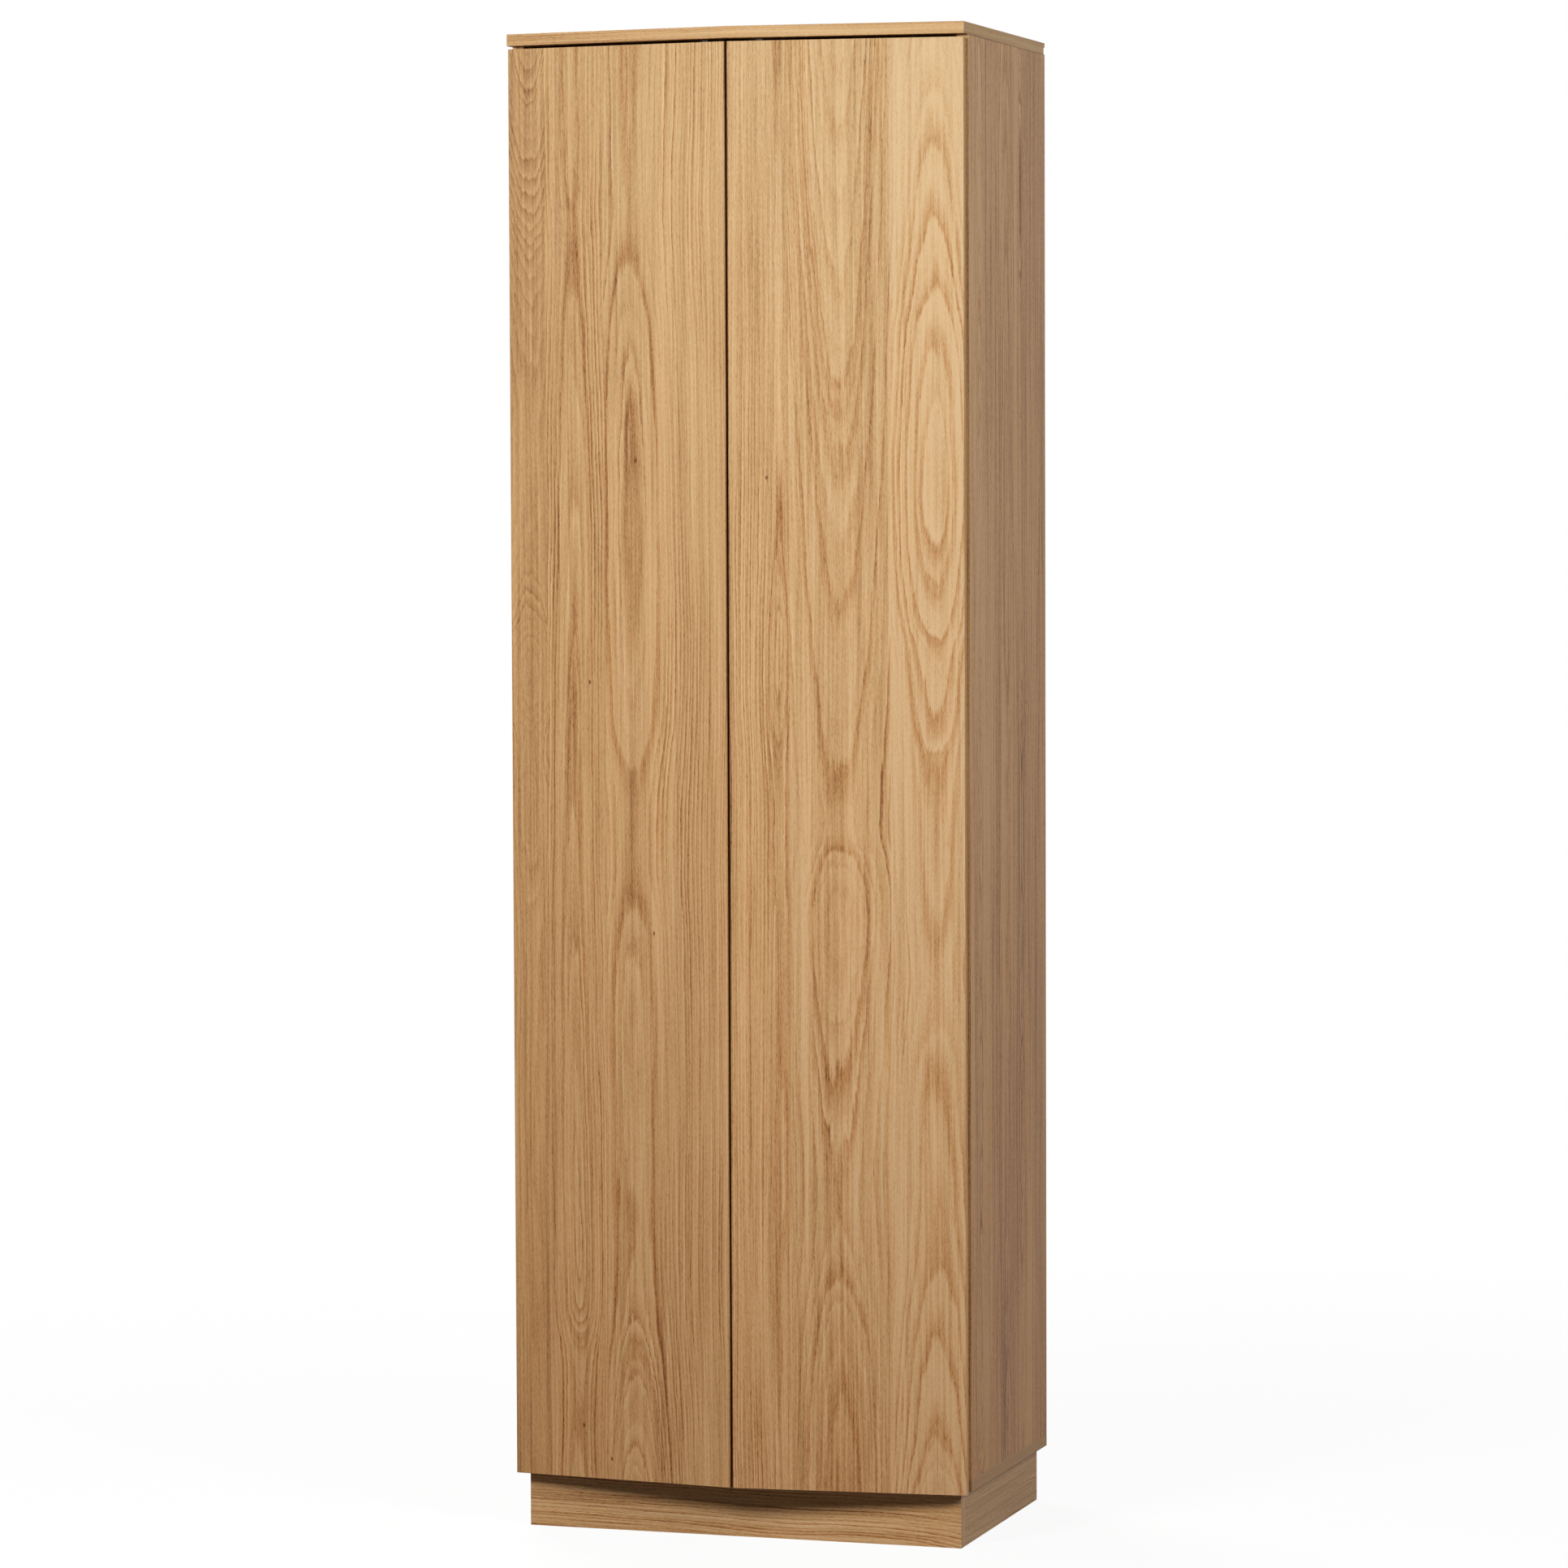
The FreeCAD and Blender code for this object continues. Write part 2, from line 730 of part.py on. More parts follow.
def make_fixed_shelf():
    """The middle shelf ties the sides together; its front follows the V."""
    body = new_body("fixed_shelf_board")
    flat = sketch_on(body, "XY_Plane", "fixed_shelf_outline")
    outline(flat, vee(carcass_setback + size("fixed_shelf_setback"), inner_wall, back_front))
    pad(body, flat, board)
    put(body, (0, 0, fixed_shelf_low))
    cam_bore = size("cam_radius") + size("cam_play")
    cam_bore_depth = size("cam_depth") + size("cam_play")
    dowel_bore = size("dowel_radius") + size("dowel_play")
    dowel_depth = size("dowel_length") - size("dowel_in_panel") + fit_gap
    cam_x = inner_wall - size("cam_distance")
    tools = []
    for sign, hand in ((1, "right"), (-1, "left")):
        inward = RIGHT * -sign
        for line, place in zip(bolt_lines, ("front", "rear")):
            start = (cam_x * sign, line, fixed_shelf_low)
            tools.append(rod(f"shelf_cam_bore_{place}_{hand}", cam_bore, cam_bore_depth, start))
            label = f"shelf_edge_bore_{place}_{hand}"
            start = (inner_wall * sign, line, fixed_shelf_middle)
            bore = size("bolt_bore_radius")
            tools.append(rod(label, bore, size("cam_distance"), start, inward))
        for line, place in zip(dowel_lines, ("front", "rear")):
            start = (inner_wall * sign, line, fixed_shelf_middle)
            label = f"shelf_edge_dowel_{place}_{hand}"
            tools.append(rod(label, dowel_bore, dowel_depth, start, inward))
    node("fixed_shelf", cut("fixed_shelf_drilled", body, tools))


def make_loose_shelves():
    """Loose shelves with a straight front, lying on their pins."""
    half = inner_wall - size("shelf_end_gap")
    front = corner_line + size("shelf_front_setback")
    sides = (half * 2, back_front - fit_gap - front, board)
    for number, low in enumerate(shelf_lows, start=1):
        node(f"adjustable_shelf_{number}", box(f"loose_shelf_{number}", (-half, front, low), sides))


def make_shelf_pins():
    """Spade pins: a peg in the side, a collar and a flat spade under the shelf."""
    top = size("pin_radius")
    peg = top - size("pin_play")
    collar = size("pin_collar_radius")
    reach = size("pin_spade_length")
    wide = size("pin_spade_width")
    profile = [(ZERO, -size("pin_collar")), (collar, -size("pin_collar")), (collar, ZERO)]
    profile += [(peg, ZERO), (peg, size("pin_depth")), (ZERO, size("pin_depth"))]
    stem = turned("pin_stem", profile, RIGHT)
    spade_low = (-reach, -wide / 2, top - size("pin_spade"))
    spade = box("pin_spade", spade_low, (reach, wide, size("pin_spade")))
    above = box("pin_collar_top", (-reach, -collar, top), (reach, collar * 2, collar))
    master = cut("shelf_pin", join("pin_blank", [stem, spade]), [above])
    places = [(inner_wall, line, low - top) for low in shelf_lows for line in pin_lines]
    both_sides("shelf_pins", copies("shelf_pins_right_side", master, places))


def back_screw_spots():
    """Places of the back's screws in the right side's rebate."""
    x = inner_wall + size("side_rebate") / 2
    return [(x, floor_top + side_height * share) for share in back_screw_shares]


def back_screw_bores():
    """Pilot holes in the side's rebate for the screws of the back."""
    depth = size("back_screw_length") - size("back_board")
    tools = []
    for number, (x, z) in enumerate(back_screw_spots(), start=1):
        label = f"back_screw_bore_{number}"
        tools.append(rod(label, size("back_screw_radius"), depth, (x, back_front, z), -REAR))
    return tools


def make_back():
    """A thin back in the rebates of the sides, lid and floor."""
    half = inner_wall + size("side_rebate") - fit_gap
    low = floor_top - size("side_rebate") + fit_gap
    high = lid_bottom + size("lid_rebate") - fit_gap
    thick = size("back_board")
    blank = box("back_blank", (-half, back_front, low), (half * 2, thick, high - low))
    radius = size("back_screw_radius")
    head_radius = size("back_screw_head_radius")
    head = size("back_screw_head")
    tools = []
    for number, (x, z) in enumerate(back_screw_spots(), start=1):
        for sign, hand in ((1, "right"), (-1, "left")):
            start = (x * sign, rear, z)
            tools.append(rod(f"back_hole_{number}_{hand}", radius, thick, start, -REAR))
            label = f"back_sink_{number}_{hand}"
            tools.append(cone(label, head_radius, radius, head, start, -REAR))
    node("back_panel", cut("back_board_drilled", blank, tools))


def make_back_screws():
    """Countersunk screws along both sides of the back, flush with its face."""
    radius = size("back_screw_radius")
    length = size("back_screw_length")
    head_radius = size("back_screw_head_radius")
    profile = [(ZERO, ZERO), (head_radius, ZERO), (radius, size("back_screw_head"))]
    profile += [(radius, length - radius * 2), (ZERO, length)]
    master = turned("back_screw", profile, -REAR)
    places = [(x, rear, z) for x, z in back_screw_spots()]
    both_sides("back_panel_screws", copies("back_screws_right_side", master, places))


def make_cams():
    """Round cams with a turning slot in the face and a mouth for the bolt."""
    # The shelf's cam stands upright, with its mouth to the side. A quarter turn
    # lays it in the side panel, with its mouth towards the floor or the lid.
    wide = size("bolt_head_radius") * 2 + size("cam_mouth_play")
    reach = size("cam_radius") + overrun
    drum = rod("cam_drum", size("cam_radius"), size("cam_depth"), (0, 0, 0))
    mouth = box("cam_mouth", (0, -wide / 2, board / 2 - wide / 2), (reach, wide, wide))
    slit_low = (-size("cam_slot") / 2, -reach, -overrun)
    slit_sides = (size("cam_slot"), reach * 2, size("cam_slot_depth") + overrun)
    upright = cut("shelf_cam", drum, [mouth, box("cam_slit", slit_low, slit_sides)])
    facing_down = aim(copies("facing_down_cam", upright, [(0, 0, 0)]), (0, 0, 0), RIGHT)
    facing_up = mirrored("facing_up_cam", facing_down)
    facing_up.Normal = UP
    distance = size("cam_distance")
    low_places = [(inner_wall, line, floor_top + distance) for line in bolt_lines]
    high_places = [(inner_wall, line, lid_bottom - distance) for line in bolt_lines]
    shelf_places = [(inner_wall - distance, line, fixed_shelf_low) for line in bolt_lines]
    sets = [
        copies("low_cams", facing_down, low_places),
        copies("high_cams", facing_up, high_places),
        copies("shelf_cams", upright, shelf_places),
    ]
    both_sides("cam_locks", group("cams_right_side", sets))


def make_bolts():
    """Cam bolts: a thread in one board, and a neck and head in the other's bore."""
    thread = size("bolt_thread_length")
    thread_radius = size("bolt_radius")
    flange = size("bolt_flange")
    flange_radius = size("bolt_bore_radius") - size("cam_play")
    neck_radius = size("bolt_neck_radius")
    head_radius = size("bolt_head_radius")
    end = size("cam_distance")
    head_start = end - size("bolt_head")
    profile = [(ZERO, -thread), (thread_radius, -thread), (thread_radius, ZERO)]
    profile += [(flange_radius, ZERO), (flange_radius, flange), (neck_radius, flange)]
    profile += [(neck_radius, head_start), (head_radius, head_start)]
    profile += [(head_radius, end - size("bolt_head") / 2), (neck_radius, end), (ZERO, end)]
    low_places = [(board_middle, line, floor_top) for line in bolt_lines]
    high_places = [(board_middle, line, lid_bottom) for line in bolt_lines]
    shelf_places = [(inner_wall, line, fixed_shelf_middle) for line in bolt_lines]
    sets = [
        copies("low_bolts", turned("low_bolt", profile, UP), low_places),
        copies("high_bolts", turned("high_bolt", profile, -UP), high_places),
        copies("shelf_bolts", turned("shelf_bolt", profile, -RIGHT), shelf_places),
    ]
    both_sides("cam_bolts", group("bolts_right_side", sets))


def make_dowels():
    """Plain dowels with chamfered ends, beside the bolts."""
    length = size("dowel_length")
    radius = size("dowel_radius")
    chamfer = size("dowel_chamfer")
    in_panel = size("dowel_in_panel")
    profile = [(ZERO, ZERO), (radius - chamfer, ZERO), (radius, chamfer)]
    profile += [(radius, length - chamfer), (radius - chamfer, length), (ZERO, length)]
    standing = [(board_middle, line, floor_top - in_panel) for line in dowel_lines]
    standing += [(board_middle, line, lid_bottom + in_panel - length) for line in dowel_lines]
    lying = [(inner_wall + in_panel, line, fixed_shelf_middle) for line in dowel_lines]
    sets = [
        copies("standing_dowels", turned("standing_dowel", profile, UP), standing),
        copies("lying_dowels", turned("lying_dowel", profile, -RIGHT), lying),
    ]
    both_sides("wooden_dowels", group("dowels_right_side", sets))


def make_plinth():
    """The front board covers the ends of the side boards; the back sits between."""
    tall = size("plinth_height")
    thick = size("plinth_board")
    half = half_width - size("plinth_side_inset")
    front = corner_line + size("plinth_front_setback")
    back = rear - size("plinth_rear_setback")
    node("plinth_front", box("plinth_front_board", (-half, front, 0), (half * 2, thick, tall)))
    sides = (thick, back - front - thick, tall)
    handed("plinth_side", box("plinth_side_board", (half - thick, front + thick, 0), sides))
    between = half - thick
    back_low = (-between, back - thick, 0)
    node("plinth_back", box("plinth_back_board", back_low, (between * 2, thick, tall)))


def block_spots():
    """Inner corners of the plinth, as the low corner of each block."""
    inside = half_width - size("plinth_side_inset") - size("plinth_board")
    front = corner_line + size("plinth_front_setback") + size("plinth_board")
    wide = size("block_width")
    back = rear - size("plinth_rear_setback") - size("plinth_board") - wide
    return [(x, y) for x in (inside - wide, -inside) for y in (front, back)]


def block_screw_seat():
    """The level at which the head of a corner block's screw bears."""
    return size("plinth_height") - size("block_height") + size("block_screw_head")


def block_screw_bores():
    """Pilot holes in the floor for the screws that rise through the blocks."""
    start = size("plinth_height")
    depth = block_screw_seat() + size("block_screw_length") - start
    half = size("block_width") / 2
    tools = []
    for number, (x, y) in enumerate(block_spots(), start=1):
        centre = (x + half, y + half, start)
        tools.append(rod(f"floor_block_bore_{number}", size("block_screw_radius"), depth, centre))
    return tools


def make_corner_blocks():
    """Blocks glued in the plinth's corners, screwed up into the floor panel."""
    wide = size("block_width")
    high = size("block_height")
    radius = size("block_screw_radius")
    head_radius = size("block_screw_head_radius")
    head = size("block_screw_head")
    blank = box("block_blank", (0, 0, 0), (wide, wide, high))
    shaft = rod("block_bore", radius, high, (wide / 2, wide / 2, 0))
    sink = rod("block_sink", head_radius + fit_gap, head, (wide / 2, wide / 2, 0))
    base = size("plinth_height") - high
    places = [(x, y, base) for x, y in block_spots()]
    block = cut("corner_block", blank, [shaft, sink])
    node("plinth_corner_blocks", copies("corner_block_set", block, places))
    master = screw("block_screw", radius, size("block_screw_length"), head_radius, head, UP)
    places = [(x + wide / 2, y + wide / 2, block_screw_seat()) for x, y in block_spots()]
    node("plinth_block_screws", copies("block_screw_set", master, places))


def make_doors():
    """Flat door with a square outer edge and an inner edge cut to the V."""
    body = new_body("door_panel_board")
    setback = size("door_setback")
    inner = size("door_centre_gap") / 2
    inner_front = corner_line + setback - slope * (half_width - inner)
    front_corners = [(inner, inner_front), (door_outer_x, door_outer_y)]
    rear_corners = [from_door(ZERO, door_board), (inner, inner_front + door_board / lean_cos)]
    flat = sketch_on(body, "XY_Plane", "door_outline")
    outline(flat, front_corners + rear_corners)
    blank = pad(body, flat, door_height)

    def on_face(edge):
        return all(on_vee(vertex, setback) for vertex in edge.Vertexes)

    soften(body, blank, size("edge_round"), on_face)
    put(body, (0, 0, door_low))
    bores = [copies("cup_bores", cup_bore(), hinge_places, lean)]
    bores.append(copies("strike_bores", strike_bore(), latch_places(), lean))
    handed("door_panel", cut("door_drilled", body, bores))


def cup_screw_ends():
    """The heights of a cup's two screws over its middle."""
    half = size("cup_screw_spacing") / 2
    return ((half, "upper"), (-half, "lower"))


def cup_bore():
    """What the door loses for one cup: the round bore and two pilot holes."""
    radius = size("cup_radius") + size("cup_play")
    depth = size("cup_depth") + size("cup_play")
    tools = [rod("cup_round_bore", radius, depth, (cup_x, door_board, 0), -REAR)]
    pilot_depth = size("cup_screw_length") - size("cup_flange")
    for level, end in cup_screw_ends():
        start = (cup_x - size("cup_screw_offset"), door_board, level)
        tools.append(rod(f"cup_pilot_{end}", size("cup_screw_radius"), pilot_depth, start, -REAR))
    return group("cup_bore_tools", tools)


def make_hinge_cups():
    """Pressed cups: a shell turned from a profile, a screw flange and two lugs."""
    wall = size("cup_wall")
    bevel = size("cup_bevel")
    outer = size("cup_radius")
    inside = outer - wall
    lip = outer + size("cup_collar")
    rim = door_board + size("cup_flange")
    floor = cup_bottom + wall
    profile = [(ZERO, cup_bottom), (outer - bevel, cup_bottom), (outer, cup_bottom + bevel)]
    profile += [(outer, door_board), (lip, door_board), (lip, rim), (inside, rim)]
    profile += [(inside, floor + bevel), (inside - bevel, floor), (ZERO, floor)]
    shell = turned("cup_shell", profile, REAR, (cup_x, 0, 0))
    wide = size("cup_flange_width")
    long = size("cup_flange_length")
    wing_low = (cup_x - size("cup_flange_start") - wide, door_board, -long / 2)
    wing_sides = (wide, size("cup_flange"), long, size("cup_flange_round"))
    wing = rounded_block("cup_wing", wing_low, wing_sides, REAR)
    mouth = rod("cup_mouth", inside, size("cup_flange") + overrun, (cup_x, door_board, 0), REAR)
    pieces = [shell, cut("cup_wing_open", wing, [mouth]), cup_lugs(inside, floor)]
    pin_bore = rod("cup_pin_bore", size("hinge_pin_radius"), outer * 2, pin_start(outer))
    holes = [pin_bore]
    for level, end in cup_screw_ends():
        start = (cup_x - size("cup_screw_offset"), door_board, level)
        label = f"cup_hole_{end}"
        holes.append(rod(label, size("cup_screw_radius"), size("cup_flange"), start, REAR))
    master = cut("hinge_cup", join("cup_with_lugs", pieces), holes)
    handed("hinge_cups", copies("hinge_cup_set", master, hinge_places, lean))


def cup_lugs(inside, floor):
    """The two lugs in a cup that hold its pin, trimmed to the cup's wall."""
    wide = size("cup_lug_width")
    gap = size("arm_half_width") + size("arm_side_gap")
    low = (-size("pivot_from_edge") - wide / 2, floor, -size("cup_radius"))
    block = box("cup_lug_block", low, (wide, size("cup_lug_height"), size("cup_radius") * 2))
    between = box("cup_lug_space", (low[0], low[1], -gap), (wide, size("cup_lug_height"), gap * 2))
    lugs = add("Part::Common", "cup_lugs")
    lugs.Base = cut("cup_lug_pair", block, [between])
    reach = inside + size("cup_wall") / 2
    lugs.Tool = rod("cup_lug_bound", reach, size("cup_lug_height"), (cup_x, floor, 0), REAR)
    return lugs


def pin_start(below):
    """The pin's axis in the door's frame, at a distance below its middle."""
    return (-size("pivot_from_edge"), pivot_from_face, -below)


def make_hinge_pins():
    """The pin on which each arm turns, held in the cup's two lugs."""
    half = size("arm_half_width") + size("cup_lug_width") / 2
    master = rod("hinge_pin", size("hinge_pin_radius"), half * 2, pin_start(half))
    handed("hinge_pins", copies("hinge_pin_set", master, hinge_places, lean))


def make_cup_screws():
    """Screws that hold the cup's flange to the door's rear face."""
    radius = size("cup_screw_radius")
    head_radius = size("cup_screw_head_radius")
    head = size("cup_screw_head")
    master = screw("cup_screw", radius, size("cup_screw_length"), head_radius, head, -REAR)
    rim = door_board + size("cup_flange")
    x, y = from_door(cup_x - size("cup_screw_offset"), rim)
    places = [(x, y, middle + level) for middle in hinge_heights for level, end in cup_screw_ends()]
    handed("cup_screws", copies("cup_screw_set", master, places, lean))


# The cranked arm in plan: from the pin it dips into the cup, bends round and
# runs straight back to the plate on the side panel.
arm_dip = lean + degrees(ARM_DIP_DEGREES)
dip_cos = cosine(arm_dip)
dip_sin = sine(arm_dip)
half_strap = size("arm_strap") / 2
reach_x = pivot_x - dip_cos * size("arm_reach")
reach_y = pivot_y - dip_sin * size("arm_reach")
bend_x = reach_x - dip_sin * size("arm_bend_radius")
bend_y = reach_y + dip_cos * size("arm_bend_radius")
strap_x = bend_x - size("arm_bend_radius")
arm_end_y = bend_y + size("arm_length")
# The saddle fills the space between the side panel and the arm's strap.
saddle_height = inner_wall - strap_x - half_strap
clamp_depth = saddle_height - size("clamp_screw_floor")


def make_hinge_arms():
    """Cranked steel arms: an eye on the pin, a bent strap and two stiff cheeks."""
    body = new_body("hinge_arm_body")
    wide = size("arm_half_width")
    side_x, side_y = dip_sin * half_strap, dip_cos * half_strap
    corners = [(pivot_x - side_x, pivot_y + side_y), (reach_x - side_x, reach_y + side_y)]
    corners += [(strap_x + half_strap, bend_y), (strap_x + half_strap, arm_end_y)]
    corners += [(strap_x - half_strap, arm_end_y), (strap_x - half_strap, bend_y)]
    corners += [(reach_x + side_x, reach_y - side_y), (pivot_x + side_x, pivot_y - side_y)]
    centre = (bend_x, bend_y)
    tight = size("arm_bend_radius") - half_strap
    strap = sketch_on(body, "XY_Plane", "arm_strap_outline", -wide)
    outline(strap, corners, {1: (tight, centre), 5: (tight + size("arm_strap"), centre)})
    pad(body, strap, wide * 2)
    eye = sketch_on(body, "XY_Plane", "arm_eye", -wide)
    ring(eye, size("eye_radius"), (pivot_x, pivot_y))
    pad(body, eye, wide * 2)
    cheek_high = saddle_height - size("plate_base") - size("arm_cheek_gap")
    low, high = strap_x - half_strap, strap_x + half_strap + cheek_high
    start = bend_y + size("arm_cheek_start")
    bevel = size("arm_cheek_bevel")
    cheek_corners = [(low, start), (high - bevel, start), (high, start + bevel)]
    cheek_corners += [(high, arm_end_y), (low, arm_end_y)]
    for side, level in (("lower", -wide - size("arm_cheek")), ("upper", wide)):
        cheek = sketch_on(body, "XY_Plane", f"arm_{side}_cheek", level)
        outline(cheek, cheek_corners)
        pad(body, cheek, size("arm_cheek"))
    bore = sketch_on(body, "XY_Plane", "arm_pin_bore", -wide)
    ring(bore, size("hinge_pin_radius") + size("hinge_pin_play"), (pivot_x, pivot_y))
    pocket(body, bore, wide * 2)
    hole = sketch_on(body, "YZ_Plane", "arm_clamp_hole", low)
    ring(hole, size("clamp_screw_radius") + size("clamp_screw_play"), (plate_y, ZERO))
    pocket(body, hole, size("arm_strap"))
    places = [(0, 0, level) for level in hinge_heights]
    handed("hinge_arms", copies("hinge_arm_set", body, places))


def plate_screw_ends():
    """The heights of a plate's two screws over its middle."""
    half = size("plate_screw_spacing") / 2
    return ((half, "upper"), (-half, "lower"))


def plate_screw_bores():
    """Pilot holes in the side panel for the screws of the hinge plates."""
    depth = size("plate_screw_length") - size("plate_base")
    tools = []
    for number, middle in enumerate(hinge_heights, start=1):
        for level, end in plate_screw_ends():
            start = (inner_wall, plate_y, middle + level)
            label = f"plate_screw_bore_{number}_{end}"
            tools.append(rod(label, size("plate_screw_radius"), depth, start, RIGHT))
    return tools


def make_hinge_plates():
    """Cross-shaped plates on the side panels, with a saddle under each arm."""
    base = size("plate_base")
    base_x = inner_wall - base
    wide = size("plate_wing_width")
    long = size("plate_wing_length")
    half = size("arm_half_width") - size("saddle_play")
    wing_low = (base_x, plate_y - wide / 2, -long / 2)
    wing_sides = (base, wide, long, size("plate_wing_round"))
    wing = rounded_block("plate_wing", wing_low, wing_sides, RIGHT)
    foot_low = (base_x, plate_y - size("plate_foot_length") / 2, -half)
    foot = box("plate_foot", foot_low, (base, size("plate_foot_length"), half * 2))
    saddle = new_body("plate_saddle")
    reach = size("saddle_length") / 2
    shoulder = reach - size("saddle_bevel")
    top = inner_wall - saddle_height
    corners = [(inner_wall, plate_y - reach), (inner_wall, plate_y + reach)]
    corners += [(top, plate_y + shoulder), (top, plate_y - shoulder)]
    flat = sketch_on(saddle, "XY_Plane", "saddle_outline", -half)
    outline(flat, corners)
    pad(saddle, flat, half * 2)
    tap = rod("plate_tap", size("clamp_screw_radius"), clamp_depth, (top, plate_y, 0), RIGHT)
    holes = [tap]
    for level, end in plate_screw_ends():
        start = (base_x, plate_y, level)
        holes.append(rod(f"plate_hole_{end}", size("plate_screw_radius"), base, start, RIGHT))
    master = cut("hinge_plate", join("plate_blank", [wing, foot, saddle]), holes)
    places = [(0, 0, level) for level in hinge_heights]
    handed("hinge_plates", copies("hinge_plate_set", master, places))


def make_plate_screws():
    """Screws that hold each plate to the side panel."""
    radius = size("plate_screw_radius")
    head_radius = size("plate_screw_head_radius")
    head = size("plate_screw_head")
    master = screw("plate_screw", radius, size("plate_screw_length"), head_radius, head, RIGHT)
    x = inner_wall - size("plate_base")
    levels = [middle + level for middle in hinge_heights for level, end in plate_screw_ends()]
    places = [(x, plate_y, level) for level in levels]
    handed("plate_screws", copies("plate_screw_set", master, places))


def make_clamp_screws():
    """The screw that clamps each arm to the saddle of its plate."""
    radius = size("clamp_screw_radius")
    head_radius = size("arm_half_width") - size("clamp_screw_margin")
    length = clamp_depth + size("arm_strap")
    master = screw("clamp_screw", radius, length, head_radius, size("clamp_screw_head"), RIGHT)
    places = [(strap_x - half_strap, plate_y, level) for level in hinge_heights]
    handed("clamp_screws", copies("clamp_screw_set", master, places))


# The latch's own frame: the origin lies on the door's rear face, on the
# plunger's axis, and y runs into the cabinet, square to the door.
plunger_start = size("strike") + size("plunger_gap")
latch_front = plunger_start + size("latch_front_setback")
latch_bore_depth = size("plunger_length") - size("latch_front_setback") + size("plunger_spare")
latch_length = latch_bore_depth + size("latch_end")
latch_middle = latch_front + latch_length / 2
latch_inset = size("latch_foot") + size("latch_height") / 2
latch_screw_spread = (size("latch_foot_width") + size("latch_width")) / 4


def latch_places():
    """Where the plungers meet the door's rear face, under the lid and below."""
    outward = (size("latch_from_centre") - door_outer_x) / lean_cos
    x, y = from_door(outward, door_board)
    return [(x, y, lid_bottom - latch_inset), (x, y, floor_top + latch_inset)]


def latch_screw_spots():
    """Where the two foot screws of a latch stand, in the cabinet's plan."""
    x, y, level = latch_places()[0]
    spots = []
    for side in (latch_screw_spread, -latch_screw_spread):
        across = x + lean_cos * side - lean_sin * latch_middle
        spots.append((across, y + lean_sin * side + lean_cos * latch_middle))
    return spots


def latch_screw_bores(name, level, inward):
    """Pilot holes in the lid or floor for the screws of the latches."""
    depth = size("latch_screw_length") - size("latch_foot")
    tools = []
    for number, (x, y) in enumerate(latch_screw_spots(), start=1):
        for sign, hand in ((1, "right"), (-1, "left")):
            label = f"{name}_latch_bore_{number}_{hand}"
            start = (x * sign, y, level)
            tools.append(rod(label, size("latch_screw_radius"), depth, start, inward))
    return tools


def strike_bore():
    """Pilot hole in the door for the screw of a strike disc."""
    radius = size("strike_screw_radius")
    return rod("strike_pilot", radius, size("strike_screw_length"), (0, 0, 0), -REAR)


def make_strikes():
    """Steel discs on the doors, each on its own screw, that the plungers push."""
    radius = size("strike_screw_radius")
    length = size("strike_screw_length")
    wide = size("strike_radius")
    thick = size("strike")
    bevel = size("strike_bevel")
    profile = [(ZERO, -length), (radius, radius * 2 - length), (radius, ZERO), (wide, ZERO)]
    profile += [(wide, thick - bevel), (wide - bevel, thick), (ZERO, thick)]
    master = turned("strike_on_its_screw", profile, REAR)
    handed("strike_discs", copies("strike_disc_set", master, latch_places(), lean))


def make_plungers():
    """Round plungers with a necked tip, pushed in while the door is shut."""
    radius = size("plunger_radius")
    neck_radius = size("plunger_neck_radius")
    chamfer = size("plunger_chamfer")
    start = plunger_start
    neck = start + size("plunger_tip")
    stem = neck + size("plunger_neck")
    end = start + size("plunger_length")
    profile = [(ZERO, start), (radius - chamfer, start), (radius, start + chamfer)]
    profile += [(radius, neck), (neck_radius, neck), (neck_radius, stem), (radius, stem)]
    master = turned("plunger", profile + [(radius, end), (ZERO, end)], REAR)
    handed("latch_plungers", copies("plunger_set", master, latch_places(), lean))


def latch_housing(end, upward):
    """One housing: a rounded block with a rib and a screw foot on its outside."""
    wide = size("latch_width")
    half_high = size("latch_height") / 2
    foot = size("latch_foot")
    foot_low = half_high if upward else -half_high - foot
    shell_low = (-wide / 2, latch_front, -half_high)
    shell_sides = (wide, latch_length, half_high * 2, size("latch_round"))
    shell = rounded_block(f"latch_shell_{end}", shell_low, shell_sides, REAR)
    foot_wide = size("latch_foot_width")
    foot_long = size("latch_foot_length")
    plate_low = (-foot_wide / 2, latch_middle - foot_long / 2, foot_low)
    plate = box(f"latch_foot_{end}", plate_low, (foot_wide, foot_long, foot))
    rib_wide = size("latch_rib_width")
    rib_low = (-rib_wide / 2, latch_front, foot_low)
    rib = box(f"latch_rib_{end}", rib_low, (rib_wide, latch_length, foot))
    bore = size("plunger_radius") + size("plunger_play")
    holes = [rod(f"latch_bore_{end}", bore, latch_bore_depth, (0, latch_front, 0), REAR)]
    for side, place in ((latch_screw_spread, "outer"), (-latch_screw_spread, "inner")):
        start = (side, latch_middle, foot_low)
        holes.append(rod(f"latch_hole_{end}_{place}", size("latch_screw_radius"), foot, start))
    return cut(f"latch_housing_{end}", join(f"latch_blank_{end}", [shell, plate, rib]), holes)


